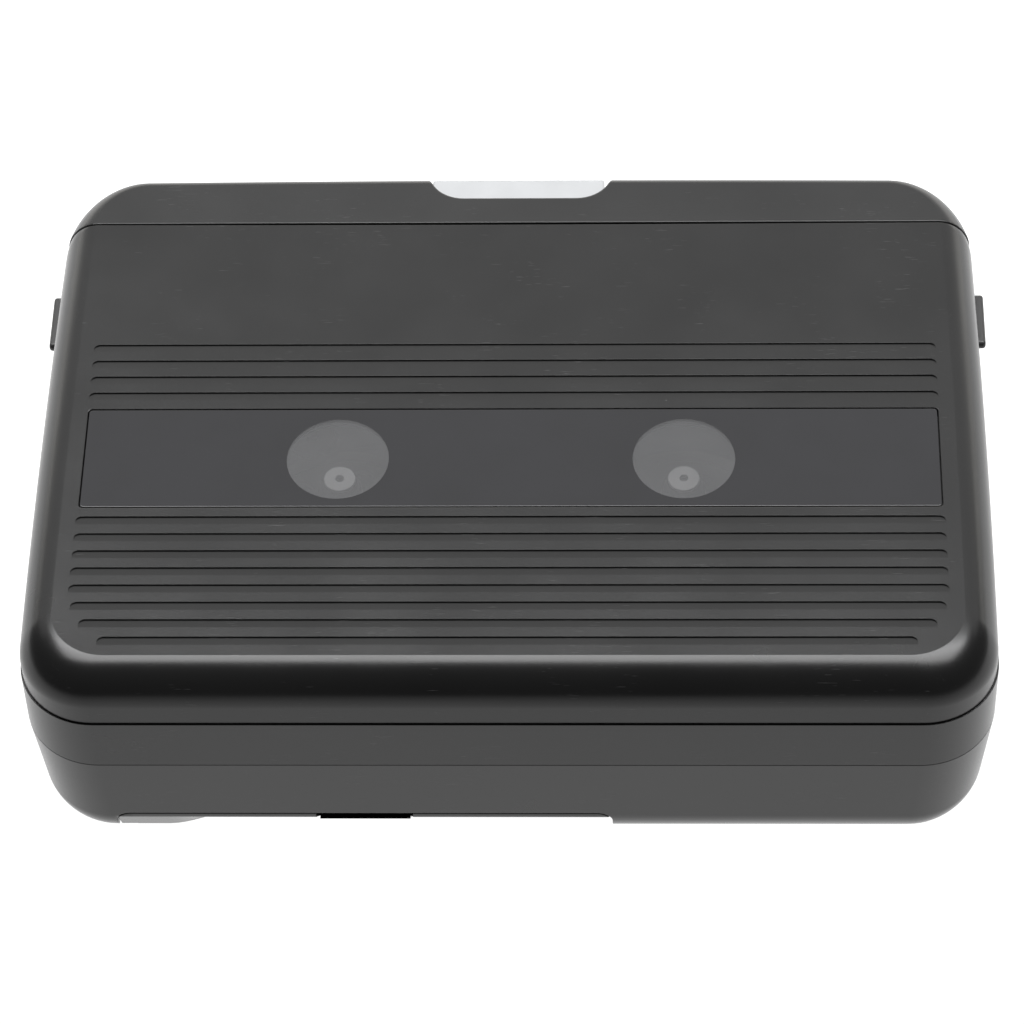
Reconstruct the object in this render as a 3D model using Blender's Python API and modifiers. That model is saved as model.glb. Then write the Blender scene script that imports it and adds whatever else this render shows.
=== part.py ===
"""A portable compact-cassette player, lying on its back with the lid up.

+X is to the right, +Y towards the key side, +Z up out of the lid. The origin is the centre of the
case's footprint, on the surface that it rests on. Sizes below are in millimetres.
"""

import math

import bmesh
import bpy
from mathutils import Vector

MM = 0.001

# Driving dimensions. Y positions are measured from the line through the two reel hubs.
HUB_Y = -6.85
HUB_PITCH = 42.5
HALF_WIDTH = 58.7
FRONT = HUB_Y - 34.7
REAR = HUB_Y + 47.1
TOP = 31.4
CORNER_FRONT = 10.5
CORNER_REAR = 10.8
CORNER_STEPS = 6
SHOULDER_SIDE = 4.1
SHOULDER_FRONT = 4.5
SHOULDER_REAR = 0.8
BOTTOM_FILLET = 4.5
BASE_DRAFT = 0.9
WALL = 1.8
BAND_WALL = 1.9
BASE_WALL = 1.4
FRAME_PROUD = 0.2
DOOR_SEAM = 23.9
BASE_SEAM = 15.4
SEAM_GAP = 0.5
FINE_GAP = 0.3
REAR_SEAM_Y = HUB_Y + 39.2

# The door turns about two steel pins just inside its front skirt.
HINGE_Y = HUB_Y - 33.2
HINGE_Z = 26.76
HINGE_PIN_RADIUS = 0.5

# The cassette, which sets the deck, the reels and the capstan.
DECK_BOTTOM = 16.0
DECK_TOP = 17.0
CASSETTE_FRONT = HUB_Y - 29.2
CAPSTAN = (-30.5, HUB_Y + 28.5)
REEL_TABLE_RADIUS = 12.0
IDLER = (-25.97, HUB_Y + 14.55)
FLYWHEEL_RADIUS = 14.0
MOTOR = (36.0, HUB_Y + 27.0)
PULLEY_RADIUS = 2.6
BELT_Z = 12.0
PINCH_PIVOT = (-44.5, HUB_Y + 39.9)
PINCH_ROLLER = (-30.3, HUB_Y + 39.9)

# The battery bay holds two round cells, side by side and in line with X.
BAY = (-46.5, 11.5, HUB_Y - 32.9, HUB_Y - 3.1)
BATTERY_DOOR = (-46.3, 11.3, HUB_Y - 2.6)
BATTERY_DOOR_TOP = 5.0
BAY_WALL = 1.2
CELL_RADIUS = 7.2

# The controls. Each release button's face is a low pill on the seam between the lid and the frame.
PLAY_KEY = (-10.8, 11.3)
PLAY_KEY_REAR = REAR + 1.5
KEY_REAR = REAR + 1.3
KEY_CENTRES = {"stop_key": 17.9, "fast_forward_key": 28.1, "rewind_key": 38.3}
RELEASE_Y = HUB_Y + 29.05
RELEASE_HALF = 3.7
RELEASE_LOW = 23.5
RELEASE_HIGH = 24.9
VOLUME = (51.6, HUB_Y + 6.2)
HEADPHONE_Y = HUB_Y - 8.2
DC_Y = HUB_Y - 17.8
JACK_Z = 9.2

# The lid's smoked panel, from its front edge to its rear edge.
WINDOW_HALF = 52.5
WINDOW_FRONT = HUB_Y - 7.5
WINDOW_REAR = HUB_Y + 7.91
WINDOW_THICKNESS = 1.0

SCREW_X = 52.0
SCREW_POINTS = [(x, HUB_Y + y) for y in (-26.5, 36.0) for x in (-SCREW_X, SCREW_X)]
SIDES = ((-1, "left"), (1, "right"))

for leftover in list(bpy.data.objects):
    bpy.data.objects.remove(leftover)
parts = bpy.data.collections.new("cassette_player")
cutters = bpy.data.collections.new("cutters")
for collection in (parts, cutters):
    bpy.context.scene.collection.children.link(collection)


def material(name, colour, roughness, metallic=0.0):
    made = bpy.data.materials.new(name)
    made.use_nodes = True
    shader = made.node_tree.nodes["Principled BSDF"]
    shader.inputs["Base Color"].default_value = (*colour, 1.0)
    shader.inputs["Roughness"].default_value = roughness
    shader.inputs["Metallic"].default_value = metallic
    return made


CASE = material("case_plastic", (0.032, 0.032, 0.032), 0.42)
ACRYLIC = material("window_acrylic", (0.035, 0.036, 0.038), 0.12)
SILVER = material("silver_plastic", (0.72, 0.73, 0.74), 0.3, 0.6)
DARK = material("dark_plastic", (0.05, 0.05, 0.052), 0.5)
GREY = material("grey_plastic", (0.35, 0.35, 0.35), 0.5)
STEEL = material("steel", (0.6, 0.6, 0.6), 0.3, 1.0)
BRASS = material("brass", (0.7, 0.52, 0.25), 0.35, 1.0)
RUBBER = material("rubber", (0.02, 0.02, 0.02), 0.8)
BOARD = material("circuit_board", (0.03, 0.12, 0.05), 0.5)


def add(name, mesh, paint, at=(0, 0, 0)):
    """Links a mesh, whose points are in metres from at, as the object called name."""
    made = bpy.data.objects.new(name, mesh)
    made.location = Vector(at) * MM
    mesh.materials.clear()
    mesh.materials.append(paint or CASE)
    if paint:
        parts.objects.link(made)
        mesh.shade_smooth()
        mesh.set_sharp_from_angle(angle=math.radians(30))
    else:
        cutters.objects.link(made)
        made.hide_render = True
        made.display_type = "WIRE"
    return made


def mesh_from(name, work):
    bmesh.ops.recalc_face_normals(work, faces=work.faces)
    if work.calc_volume(signed=True) < 0:
        bmesh.ops.reverse_faces(work, faces=work.faces)
    mesh = bpy.data.meshes.new(name)
    work.to_mesh(mesh)
    work.free()
    return mesh


def box(name, low, high, paint=None, bevel=0.0):
    """A block between two corners. With no paint it is a cutter."""
    centre = [(a + b) / 2 for a, b in zip(low, high)]
    work = bmesh.new()
    bmesh.ops.create_cube(work, size=1.0)
    bmesh.ops.scale(work, vec=[(b - a) * MM for a, b in zip(low, high)], verts=work.verts)
    made = add(name, mesh_from(name, work), paint, centre)
    if bevel:
        rounding = made.modifiers.new("rounding", "BEVEL")
        rounding.width = bevel * MM
        rounding.segments = 2
    return made


def side_box(name, side, low, high, paint=None, bevel=0.0):
    """A block given for the right side of the case, mirrored to the left where side is -1."""
    x_low, x_high = sorted((side * low[0], side * high[0]))
    return box(name, (x_low, *low[1:]), (x_high, *high[1:]), paint, bevel)


def cylinder(name, centre, radius, length, axis="Z", paint=None, segments=24):
    """A cylinder centred on a point, along one axis. With no paint it is a cutter."""
    work = bmesh.new()
    bmesh.ops.create_cone(
        work,
        cap_ends=True,
        segments=segments,
        radius1=radius * MM,
        radius2=radius * MM,
        depth=length * MM,
    )
    made = add(name, mesh_from(name, work), paint, centre)
    made.rotation_euler = {"X": (0, math.pi / 2, 0), "Y": (math.pi / 2, 0, 0), "Z": (0, 0, 0)}[axis]
    return made


def pin(name, point, radius, z_low, z_high, paint=None, segments=16):
    """An upright cylinder at a plan point, between two heights."""
    return cylinder(name, (*point, (z_low + z_high) / 2), radius, z_high - z_low, "Z", paint, segments)


def turned(name, point, profile, paint=None, steps=32):
    """A turned piece about an upright axis. The profile is (radius, z), down the outer side."""
    mesh = bpy.data.meshes.new(name)
    points = [(radius * MM, 0, z * MM) for radius, z in profile]
    closed = profile[0][0] > 0
    edges = [(i, i + 1) for i in range(len(points) - 1)]
    mesh.from_pydata(points, edges + ([(len(points) - 1, 0)] if closed else []), [])
    made = add(name, mesh, paint, (*point, 0))
    screw = made.modifiers.new("turn", "SCREW")
    screw.steps = screw.render_steps = steps
    screw.use_merge_vertices = True
    screw.merge_threshold = 1e-7
    return made


def prism(name, outline, low, high, paint=None, axis="Z"):
    """A flat outline of (u, v) points, extruded along Z (u, v = X, Y), X (Y, Z) or Y (X, Z)."""
    curve = bpy.data.curves.new(name, "CURVE")
    curve.dimensions = "2D"
    curve.fill_mode = "BOTH"
    curve.extrude = (high - low) / 2 * MM
    spline = curve.splines.new("POLY")
    spline.points.add(len(outline) - 1)
    for point, (u, v) in zip(spline.points, outline):
        point.co = (u * MM, v * MM, 0, 1)
    spline.use_cyclic_u = True
    sheet = bpy.data.objects.new(name, curve)
    bpy.context.scene.collection.objects.link(sheet)
    graph = bpy.context.evaluated_depsgraph_get()
    mesh = bpy.data.meshes.new_from_object(sheet.evaluated_get(graph))
    bpy.data.objects.remove(sheet)
    work = bmesh.new()
    work.from_mesh(mesh)
    bmesh.ops.remove_doubles(work, verts=work.verts, dist=1e-7)
    order = {"Z": (0, 1, 2), "X": (2, 0, 1), "Y": (0, 2, 1)}[axis]
    for vert in work.verts:
        vert.co = [vert.co[i] for i in order]
    middle = (low + high) / 2
    place = {"Z": (0, 0, middle), "X": (middle, 0, 0), "Y": (0, middle, 0)}[axis]
    return add(name, mesh_from(name, work), paint, place)


def strip(name, line, thickness, low, high, paint, axis="X"):
    """A bent metal strip: a centre line given a thickness, and extruded across its width."""
    left, right = [], []
    for index, point in enumerate(line):
        before = Vector(line[max(index - 1, 0)])
        after = Vector(line[min(index + 1, len(line) - 1)])
        along = (after - before).normalized()
        side = Vector((-along.y, along.x)) * thickness / 2
        left.append(tuple(Vector(point) + side))
        right.append(tuple(Vector(point) - side))
    return prism(name, left + right[::-1], low, high, paint, axis)


def wire(name, points, radius, paint, cyclic=False):
    """A round wire through points, as a curve with filled ends."""
    curve = bpy.data.curves.new(name, "CURVE")
    curve.dimensions = "3D"
    curve.bevel_depth = radius * MM
    curve.bevel_resolution = 1
    curve.use_fill_caps = True
    spline = curve.splines.new("POLY")
    spline.points.add(len(points) - 1)
    for point, place in zip(spline.points, points):
        point.co = (*(c * MM for c in place), 1)
    spline.use_cyclic_u = cyclic
    made = bpy.data.objects.new(name, curve)
    made.data.materials.append(paint)
    parts.objects.link(made)
    return made


def combine(target, other, operation):
    step = target.modifiers.new(operation.lower(), "BOOLEAN")
    step.operation = operation
    step.object = other
    step.solver = "EXACT"


def cut(target, *others):
    for other in others:
        combine(target, other, "DIFFERENCE")


def join(target, *others):
    for other in others:
        combine(target, other, "UNION")


def hinge_empty(name, point, *pieces):
    """An empty on a joint's axis, with the pieces that move on it as its children."""
    empty = bpy.data.objects.new(name, None)
    empty.location = Vector(point) * MM
    parts.objects.link(empty)
    for piece in pieces:
        piece.parent = empty
        piece.location -= empty.location


def outline(inset=0.0, proud=0.0):
    """The case in plan, as (x, y, angle of the outward normal), anticlockwise."""
    found = []
    front, rear = (FRONT, CORNER_FRONT), (REAR, CORNER_REAR)
    corners = ((1, *front), (1, *rear), (-1, *rear), (-1, *front))
    for index, (side, end, radius) in enumerate(corners):
        centre_x = side * (HALF_WIDTH - radius)
        centre_y = end - radius if end > 0 else end + radius
        for step in range(CORNER_STEPS + 1):
            angle = math.radians(90 * (index - 1 + step / CORNER_STEPS))
            reach = radius - inset + proud
            found.append((centre_x + reach * math.cos(angle), centre_y + reach * math.sin(angle), angle))
    return found


def shoulder(angle):
    """Radius of the rounded top edge, which is smallest along the rear."""
    far = SHOULDER_FRONT if math.sin(angle) < 0 else SHOULDER_REAR
    return SHOULDER_SIDE + (far - SHOULDER_SIDE) * math.sin(angle) ** 2


def loft(name, rings, paint=None):
    """A closed solid through rings of points, lowest first, with flat ends."""
    work = bmesh.new()
    loops = [[work.verts.new([c * MM for c in point]) for point in ring] for ring in rings]
    for lower, upper in zip(loops, loops[1:]):
        for i in range(len(lower)):
            j = (i + 1) % len(lower)
            work.faces.new((lower[i], lower[j], upper[j], upper[i]))
    work.faces.new(loops[0][::-1])
    work.faces.new(loops[-1])
    return add(name, mesh_from(name, work), paint)


def upper_solid(name, z_low, inset=0.0, z_top=TOP, paint=None, steps=4):
    """The upper case as a solid: straight sides, then the rounded shoulder up to the flat top."""
    rings = [[(x, y, z_low) for x, y, _ in outline(inset)]]
    for step in range(steps + 1):
        turn = math.radians(90 * step / steps)
        ring = []
        for x, y, angle in outline(inset):
            radius = max(shoulder(angle) - inset, 0.3)
            back = radius * (1 - math.cos(turn))
            z = z_top - radius * (1 - math.sin(turn))
            ring.append((x - back * math.cos(angle), y - back * math.sin(angle), z))
        rings.append(ring)
    return loft(name, rings, paint)


def lower_solid(name, z_low, z_high, inset=0.0, paint=None, steps=4):
    """The lower case as a solid: a rounded bottom edge, then sides that draft out to the seam."""
    radius = BOTTOM_FILLET - inset
    rings = []
    for step in range(steps + 1):
        turn = math.radians(90 * step / steps)
        back = inset + BASE_DRAFT + radius * (1 - math.sin(turn))
        z = z_low + radius * (1 - math.cos(turn))
        rings.append([(x, y, z) for x, y, _ in outline(back, FRAME_PROUD)])
    rings.append([(x, y, z_high) for x, y, _ in outline(inset, FRAME_PROUD)])
    return loft(name, rings, paint)


def make_base():
    base = lower_solid("base_shell", 0, BASE_SEAM - FINE_GAP / 2, paint=CASE)
    cut(base, lower_solid("base_cavity", BASE_WALL, BASE_SEAM + 4, WALL))
    left, right, front, rear = BAY
    bay = box("bay_rear_wall", (left - BAY_WALL, rear, 0.7), (right + BAY_WALL, rear + BAY_WALL, 14.9))
    for name, x in (("bay_left_wall", left - BAY_WALL), ("bay_right_wall", right)):
        join(bay, box(name, (x, front - 1.2, 0.7), (x + BAY_WALL, rear + 0.2, 14.8)))
    combine(bay, lower_solid("bay_limit", 0.3, BASE_SEAM, 0.3), "INTERSECT")
    join(base, bay)
    for index, point in enumerate(SCREW_POINTS):
        join(base, pin(f"boss_{index}", point, 3.0, 0.6, 15.6))
        cut(base, pin(f"boss_bore_{index}", point, 1.3, -1, 17))
        cut(base, pin(f"boss_counterbore_{index}", point, 2.6, -1, 2.2))
    door_left, door_right, door_rear = BATTERY_DOOR
    low = (door_left - 0.2, FRONT - 2, -1)
    high = (door_right + 0.2, door_rear + 0.3, BATTERY_DOOR_TOP + 0.3)
    cut(base, box("battery_opening", low, high))
    cut(base, box("volume_slot", (55.5, VOLUME[1] - 6.4, 10.5), (60, VOLUME[1] + 6.4, 13.9)))
    cut(base, cylinder("headphone_hole", (57, HEADPHONE_Y, JACK_Z), 2.5, 8, "X"))
    cut(base, cylinder("dc_hole", (57, DC_Y, JACK_Z), 2.9, 8, "X"))


def make_battery_door():
    left, right, rear = BATTERY_DOOR
    door = lower_solid("battery_door", 0.1, 12, paint=CASE)
    cut(door, lower_solid("battery_door_cavity", BASE_WALL - 0.2, 14, WALL))
    for name, low, high in (
        ("battery_trim_left", (-70, -60, -2), (left, 60, 20)),
        ("battery_trim_right", (right, -60, -2), (70, 60, 20)),
        ("battery_trim_rear", (-70, rear, -2), (70, 60, 20)),
        ("battery_trim_top", (-70, -60, BATTERY_DOOR_TOP), (70, 60, 20)),
        ("battery_finger_notch", (-23.4, FRONT - 2, 4.0), (-11.9, FRONT + 3.4, 8)),
    ):
        cut(door, box(name, low, high))


def make_frame():
    heights = (BASE_SEAM + FINE_GAP / 2, DOOR_SEAM - SEAM_GAP / 2)
    frame = loft("mid_frame", [[(x, y, z) for x, y, _ in outline(0, FRAME_PROUD)] for z in heights], CASE)
    cut(frame, loft("frame_inside", [[(x, y, z) for x, y, _ in outline(BAND_WALL)] for z in (10, 28)]))
    strip_solid = upper_solid("rear_strip", 20)
    cut(strip_solid, upper_solid("rear_strip_cavity", 14, WALL, TOP - WALL))
    cut(strip_solid, box("rear_strip_trim", (-70, -60, 10), (70, REAR_SEAM_Y + 0.25, 40)))
    join(frame, strip_solid)
    for side, tag in SIDES:
        for name, low, high in (
            ("lug_foot", (45.5, HUB_Y - 33.6, 20.0), (48.0, HUB_Y - 29.5, 23.2)),
            ("lug_post", (45.5, HUB_Y - 30.7, 20.5), (48.0, HUB_Y - 29.5, HINGE_Z + 0.9)),
            ("lug_arm", (45.5, HINGE_Y - 0.8, HINGE_Z - 0.72), (48.0, HUB_Y - 30.0, HINGE_Z + 0.9)),
            ("deck_clamp_front", (52.6, HUB_Y - 18.0, DECK_TOP + 0.3), (58.0, HUB_Y - 14.0, 19.0)),
            ("deck_clamp_rear", (52.6, HUB_Y + 30.0, DECK_TOP + 0.3), (58.0, HUB_Y + 33.5, 19.0)),
        ):
            join(frame, side_box(f"{name}_{tag}", side, low, high))
        centre = (side * 46.75, HINGE_Y, HINGE_Z)
        cut(frame, cylinder(f"lug_bore_{tag}", centre, HINGE_PIN_RADIUS + 0.06, 6, "X", segments=12))
        cut(frame, release_gap(f"release_slot_{tag}", side, RELEASE_LOW - 0.3))
    cut(frame, prism("rear_notch", notch_outline(), 29, 33))
    low, high = (PLAY_KEY[0] - 0.3, REAR - 2.6, 18.7), (PLAY_KEY[1] + 0.3, REAR + 2, 29.62)
    cut(frame, box("play_slot", low, high))
    for name, centre in KEY_CENTRES.items():
        cut(frame, box(f"{name}_slot", (centre - 4.8, REAR - 2.6, 18.7), (centre + 4.8, REAR + 2, 24.5)))


def release_gap(name, side, z_low):
    """A cutter for the gap that a release button moves in, open at the seam."""
    reach = RELEASE_HALF + 0.3
    return side_box(name, side, (55, RELEASE_Y - reach, z_low), (61, RELEASE_Y + reach, RELEASE_HIGH + 0.3))


def notch_outline():
    """The finger notch in the rear strip, with rounded inner corners."""
    left, right, floor, rear, radius = -11.0, 11.7, HUB_Y + 43.75, REAR + 3, 2.8
    points = [(right, rear), (left, rear)]
    for centre_x, start in ((left + radius, 180), (right - radius, 270)):
        for step in range(5):
            angle = math.radians(start + 90 * step / 4)
            points.append((centre_x + radius * math.cos(angle), floor + radius + radius * math.sin(angle)))
    return points


def make_door():
    door = upper_solid("door", DOOR_SEAM + SEAM_GAP / 2, paint=CASE)
    cut(door, upper_solid("door_cavity", 10, WALL, TOP - WALL))
    cut(door, box("door_trim_rear", (-70, REAR_SEAM_Y - 0.25, 10), (70, 60, 40)))
    join(door, box("door_rear_lip", (-53.5, REAR_SEAM_Y - 1.75, 28.3), (53.5, REAR_SEAM_Y - 0.35, 30.2)))
    low = (-WINDOW_HALF - 0.2, WINDOW_FRONT - 0.2, TOP - WINDOW_THICKNESS - 0.2)
    cut(door, box("window_recess", low, (WINDOW_HALF + 0.2, WINDOW_REAR + 0.2, TOP + 2)))
    for side, tag in SIDES:
        cut(door, pin(f"window_hole_{tag}", (side * HUB_PITCH / 2, HUB_Y), 6.9, 25, 31, segments=32))
        for name, x_low, x_high in (("knuckle_inner", 42.4, 45.2), ("knuckle_outer", 48.3, 50.4)):
            low, high = (x_low, FRONT + 0.7, HINGE_Z - 1.5), (x_high, HINGE_Y + 1.5, HINGE_Z + 2.2)
            join(door, side_box(f"{name}_{tag}", side, low, high))
        low, high = (45.2, FRONT + 0.4, 20), (48.3, FRONT + 5, HINGE_Z + 1.25)
        cut(door, side_box(f"lug_pocket_{tag}", side, low, high))
        centre = (side * 46.5, HINGE_Y, HINGE_Z)
        cut(door, cylinder(f"knuckle_bore_{tag}", centre, HINGE_PIN_RADIUS + 0.08, 9.4, "X", segments=12))
        cut(door, release_gap(f"release_cutout_{tag}", side, 20))
    low = (-WINDOW_HALF, WINDOW_FRONT, TOP - WINDOW_THICKNESS)
    window = box("door_window", low, (WINDOW_HALF, WINDOW_REAR, TOP), ACRYLIC)
    pieces = [door, window, make_holder()]
    for side, tag in SIDES:
        line = [(HUB_Y + y, z) for y, z in ((-26, 29.2), (-21, 29.2), (-17, 28.2), (-13, 28.0), (-10, 28.6))]
        x_low, x_high = sorted((side * 30, side * 36))
        pieces.append(strip(f"cassette_spring_{tag}", line, 0.3, x_low, x_high, STEEL))
    hinge_empty("door_axis", (0, HINGE_Y, HINGE_Z), *pieces)
    for side, tag in SIDES:
        centre = (side * 46.5, HINGE_Y, HINGE_Z)
        cylinder(f"door_hinge_pin_{tag}", centre, HINGE_PIN_RADIUS, 8.6, "X", STEEL, 12)


def make_holder():
    """The pocket under the lid that carries the cassette by its two ends."""
    front, rear = CASSETTE_FRONT - 1.1, HUB_Y + 22.0
    holder = box("cassette_holder", (-51.8, front, 17.9), (51.8, HUB_Y - 26.5, 18.6), DARK)
    for side, tag in SIDES:
        join(holder, side_box(f"holder_flange_{tag}", side, (47.0, front, 17.9), (51.8, rear, 18.6)))
        join(holder, side_box(f"holder_side_{tag}", side, (50.7, front, 18.1), (51.8, rear, 29.2)))
    join(holder, box("holder_front", (-44.0, front, 18.1), (44.0, front + 0.8, 28.8)))
    return holder


def make_release_buttons():
    """Each has a thin face outside the case and a taller flange that keeps it in."""
    for side, tag in SIDES:
        low = (55.6, RELEASE_Y - RELEASE_HALF, RELEASE_LOW)
        high = (59.5, RELEASE_Y + RELEASE_HALF, RELEASE_HIGH)
        button = side_box(f"release_button_{tag}", side, low, high, DARK, 0.4)
        low, high = (54.4, RELEASE_Y - 4.8, 21.4), (56.4, RELEASE_Y + 4.8, 24.5)
        join(button, side_box(f"release_flange_{tag}", side, low, high))


def make_keys():
    left, right = PLAY_KEY
    play = box("play_key", (left, REAR - 2.3, 19.0), (right, PLAY_KEY_REAR, TOP - 2.1), SILVER, 0.5)
    join(play, box("play_flange", (left - 1.3, REAR - 3.8, 18.4), (right + 1.0, REAR - 2.1, 27.4)))
    for name, centre in KEY_CENTRES.items():
        key = box(name, (centre - 4.5, REAR - 3.0, 19.0), (centre + 4.5, KEY_REAR, 24.2), DARK, 0.5)
        join(key, box(f"{name}_flange", (centre - 4.9, REAR - 3.8, 18.2), (centre + 4.9, REAR - 2.1, 25.0)))
        join(key, box(f"{name}_stem", (centre - 1.5, REAR - 9.0, 18.6), (centre + 1.5, REAR - 3.5, 22.0)))
        cut(key, box(f"{name}_rod_slot", (centre - 3, REAR - 8.1, 19.4), (centre + 3, REAR - 4.2, 20.9)))
    cylinder("key_guide_rod", (28.1, REAR - 7.4, 20.15), 0.5, 27.5, "X", STEEL, 12)


def make_deck():
    half, front, rear, corner = 56.2, HUB_Y - 32.4, HUB_Y + 43.9, 8.0
    centres = [(side * (half - corner), y) for side, y in (
        (1, front + corner), (1, rear - corner), (-1, rear - corner), (-1, front + corner)
    )]
    points = []
    for index, (x, y) in enumerate(centres):
        for step in range(4):
            angle = math.radians(90 * (index - 1 + step / 3))
            points.append((x + corner * math.cos(angle), y + corner * math.sin(angle)))
    deck = prism("deck_plate", points, DECK_BOTTOM, DECK_TOP, STEEL)
    holes = [("capstan_hole", CAPSTAN, 2.9), ("idler_hole", IDLER, 3.5)]
    holes += [(f"screw_hole_{i}", point, 1.4) for i, point in enumerate(SCREW_POINTS)]
    holes += [(f"reel_hole_{i}", (s * HUB_PITCH / 2, HUB_Y), 1.1) for i, s in enumerate((-1, 1))]
    for name, point, radius in holes:
        cut(deck, pin(name, point, radius, 10, 20))
    cut(deck, pin("pivot_hole", PINCH_PIVOT, 1.2, 10, 20))


def make_reels():
    for side, tag in ((-1, "takeup"), (1, "supply")):
        point = (side * HUB_PITCH / 2, HUB_Y)
        profile = [(3.2, 19.9), (3.2, 18.4), (REEL_TABLE_RADIUS, 18.4), (REEL_TABLE_RADIUS, 17.5)]
        profile += [(0.95, 17.3), (0.95, 19.9)]
        table = turned(f"{tag}_reel_table", point, profile, GREY)
        profile = [(0.95, 27.6), (1.6, 27.6), (1.95, 27.2), (2.7, 25.6), (2.7, 20.2), (0.95, 20.2)]
        spindle = turned(f"{tag}_spindle", point, profile, GREY, 24)
        for fin in range(3):
            blade = box(f"{tag}_fin_{fin}", (1.6, -0.5, 20.2), (3.9, 0.5, 25.3))
            angle = math.radians(90 + 120 * fin)
            blade.rotation_euler = (0, 0, angle)
            way = Vector((math.cos(angle), math.sin(angle), 0))
            blade.location = (Vector((*point, 22.8)) + 2.75 * way) * MM
            join(spindle, blade)
        pin(f"{tag}_shaft", point, 0.8, 15.2, 27.3, STEEL)
        hinge_empty(f"{tag}_axis", (*point, 0), table, spindle)


def make_capstan():
    shaft = pin("capstan_shaft", CAPSTAN, 1.0, 5.0, 27.2, STEEL)
    profile = [(3.4, 15.3), (3.4, 13.6), (FLYWHEEL_RADIUS, 13.6), (FLYWHEEL_RADIUS, 10.4)]
    profile += [(3.0, 10.4), (3.0, 8.6), (1.08, 8.6), (1.08, 15.3)]
    wheel = turned("flywheel", CAPSTAN, profile, BRASS, 40)
    hinge_empty("capstan_axis", (*CAPSTAN, 0), shaft, wheel)
    profile = [(2.0, 19.4), (2.0, 17.9), (4.2, 17.9), (4.2, 17.3), (2.6, 17.3), (2.6, 15.7)]
    profile += [(1.06, 15.7), (1.06, 19.4)]
    turned("capstan_bearing", CAPSTAN, profile, BRASS, 16)
    x, y = CAPSTAN
    bends = ((-16.5, 15.5), (-16.5, 9.0), (-15.5, 4.0), (15.5, 4.0), (16.5, 9.0), (16.5, 15.5))
    line = [(x + dx, z) for dx, z in bends]
    strip("flywheel_bracket", line, 0.8, y - 4, y + 4, STEEL, "Y")


def make_idler():
    profile = [(3.0, 18.3), (3.0, 17.4), (1.6, 17.4), (1.6, 15.3), (10.96, 15.3), (10.96, 14.1)]
    profile += [(0.85, 14.1), (0.85, 18.3)]
    hinge_empty("idler_axis", (*IDLER, 0), turned("idler_gear", IDLER, profile, GREY, 32))
    pin("idler_shaft", IDLER, 0.7, 13.9, 18.6, STEEL)


def make_motor():
    x, y = MOTOR
    turned("motor", MOTOR, [(0, 9.4), (3.0, 9.4), (3.0, 8.8), (11.5, 8.8), (11.5, 2.0), (0, 2.0)], STEEL)
    shaft = pin("motor_shaft", MOTOR, 0.7, 9.7, 14.6, STEEL, 12)
    profile = [(3.2, 13.8), (3.2, 13.2), (PULLEY_RADIUS, 12.9), (PULLEY_RADIUS, 11.1)]
    profile += [(3.2, 10.8), (3.2, 10.2), (0.78, 10.2), (0.78, 13.8)]
    hinge_empty("motor_axis", (x, y, 0), shaft, turned("motor_pulley", MOTOR, profile, BRASS, 24))


def make_belt():
    """A loop round the flywheel and the pulley, with straight tangent runs."""
    start, end = Vector(CAPSTAN), Vector(MOTOR)
    large, small = FLYWHEEL_RADIUS + 0.85, PULLEY_RADIUS + 0.8
    between = end - start
    heading = math.atan2(between.y, between.x)
    lean = math.acos((large - small) / between.length)
    points = []
    for centre, radius, first, last, steps in (
        (start, large, heading + lean, heading + 2 * math.pi - lean, 20),
        (end, small, heading - lean, heading + lean, 8),
    ):
        for step in range(steps + 1):
            angle = first + (last - first) * step / steps
            way = Vector((math.cos(angle), math.sin(angle)))
            points.append((*(centre + radius * way), BELT_Z))
    wire("drive_belt", points, 0.5, RUBBER, cyclic=True)


def make_head():
    y = HUB_Y
    plate = box("head_plate", (-21.5, y + 30.6, 17.3), (13.6, y + 41.9, 18.1), STEEL)
    head = box("playback_head", (-6.2, y + 35.2, 19.4), (6.2, y + 41.0, 27.2), STEEL, 0.9)
    join(head, box("head_foot", (-9.4, y + 37.0, 18.4), (9.4, y + 40.6, 19.6)))
    pieces = [plate, head]
    for side, tag in SIDES:
        pieces.append(pin(f"head_screw_{tag}", (side * 7.9, y + 38.8), 1.0, 19.9, 20.9, BRASS, 12))
    hinge_empty("head_slide", (0, y + 38.8, 18), *pieces)


def make_pinch_roller():
    (px, py), (rx, ry) = PINCH_PIVOT, PINCH_ROLLER
    corners = [(px - 2.4, py - 2.2), (rx + 1.8, ry - 1.6), (rx + 1.8, ry + 1.6), (px - 2.4, py + 2.2)]
    arm = prism("pinch_roller_arm", corners, 18.5, 19.3, STEEL)
    cut(arm, pin("arm_pivot_bore", (px, py), 1.0, 17, 21))
    cut(arm, pin("arm_pin_bore", (rx, ry), 0.62, 17, 21, segments=12))
    post = pin("pinch_roller_pin", (rx, ry), 0.55, 18.45, 27.6, STEEL, 12)
    profile = [(4.2, 26.9), (4.2, 19.8), (0.65, 19.8), (0.65, 26.9)]
    roller = turned("pinch_roller", (rx, ry), profile, RUBBER, 24)
    hinge_empty("pinch_axis", (px, py, 0), arm, post, roller)
    pin("pinch_arm_pivot", (px, py), 0.92, 15.4, 20.2, STEEL)


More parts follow.
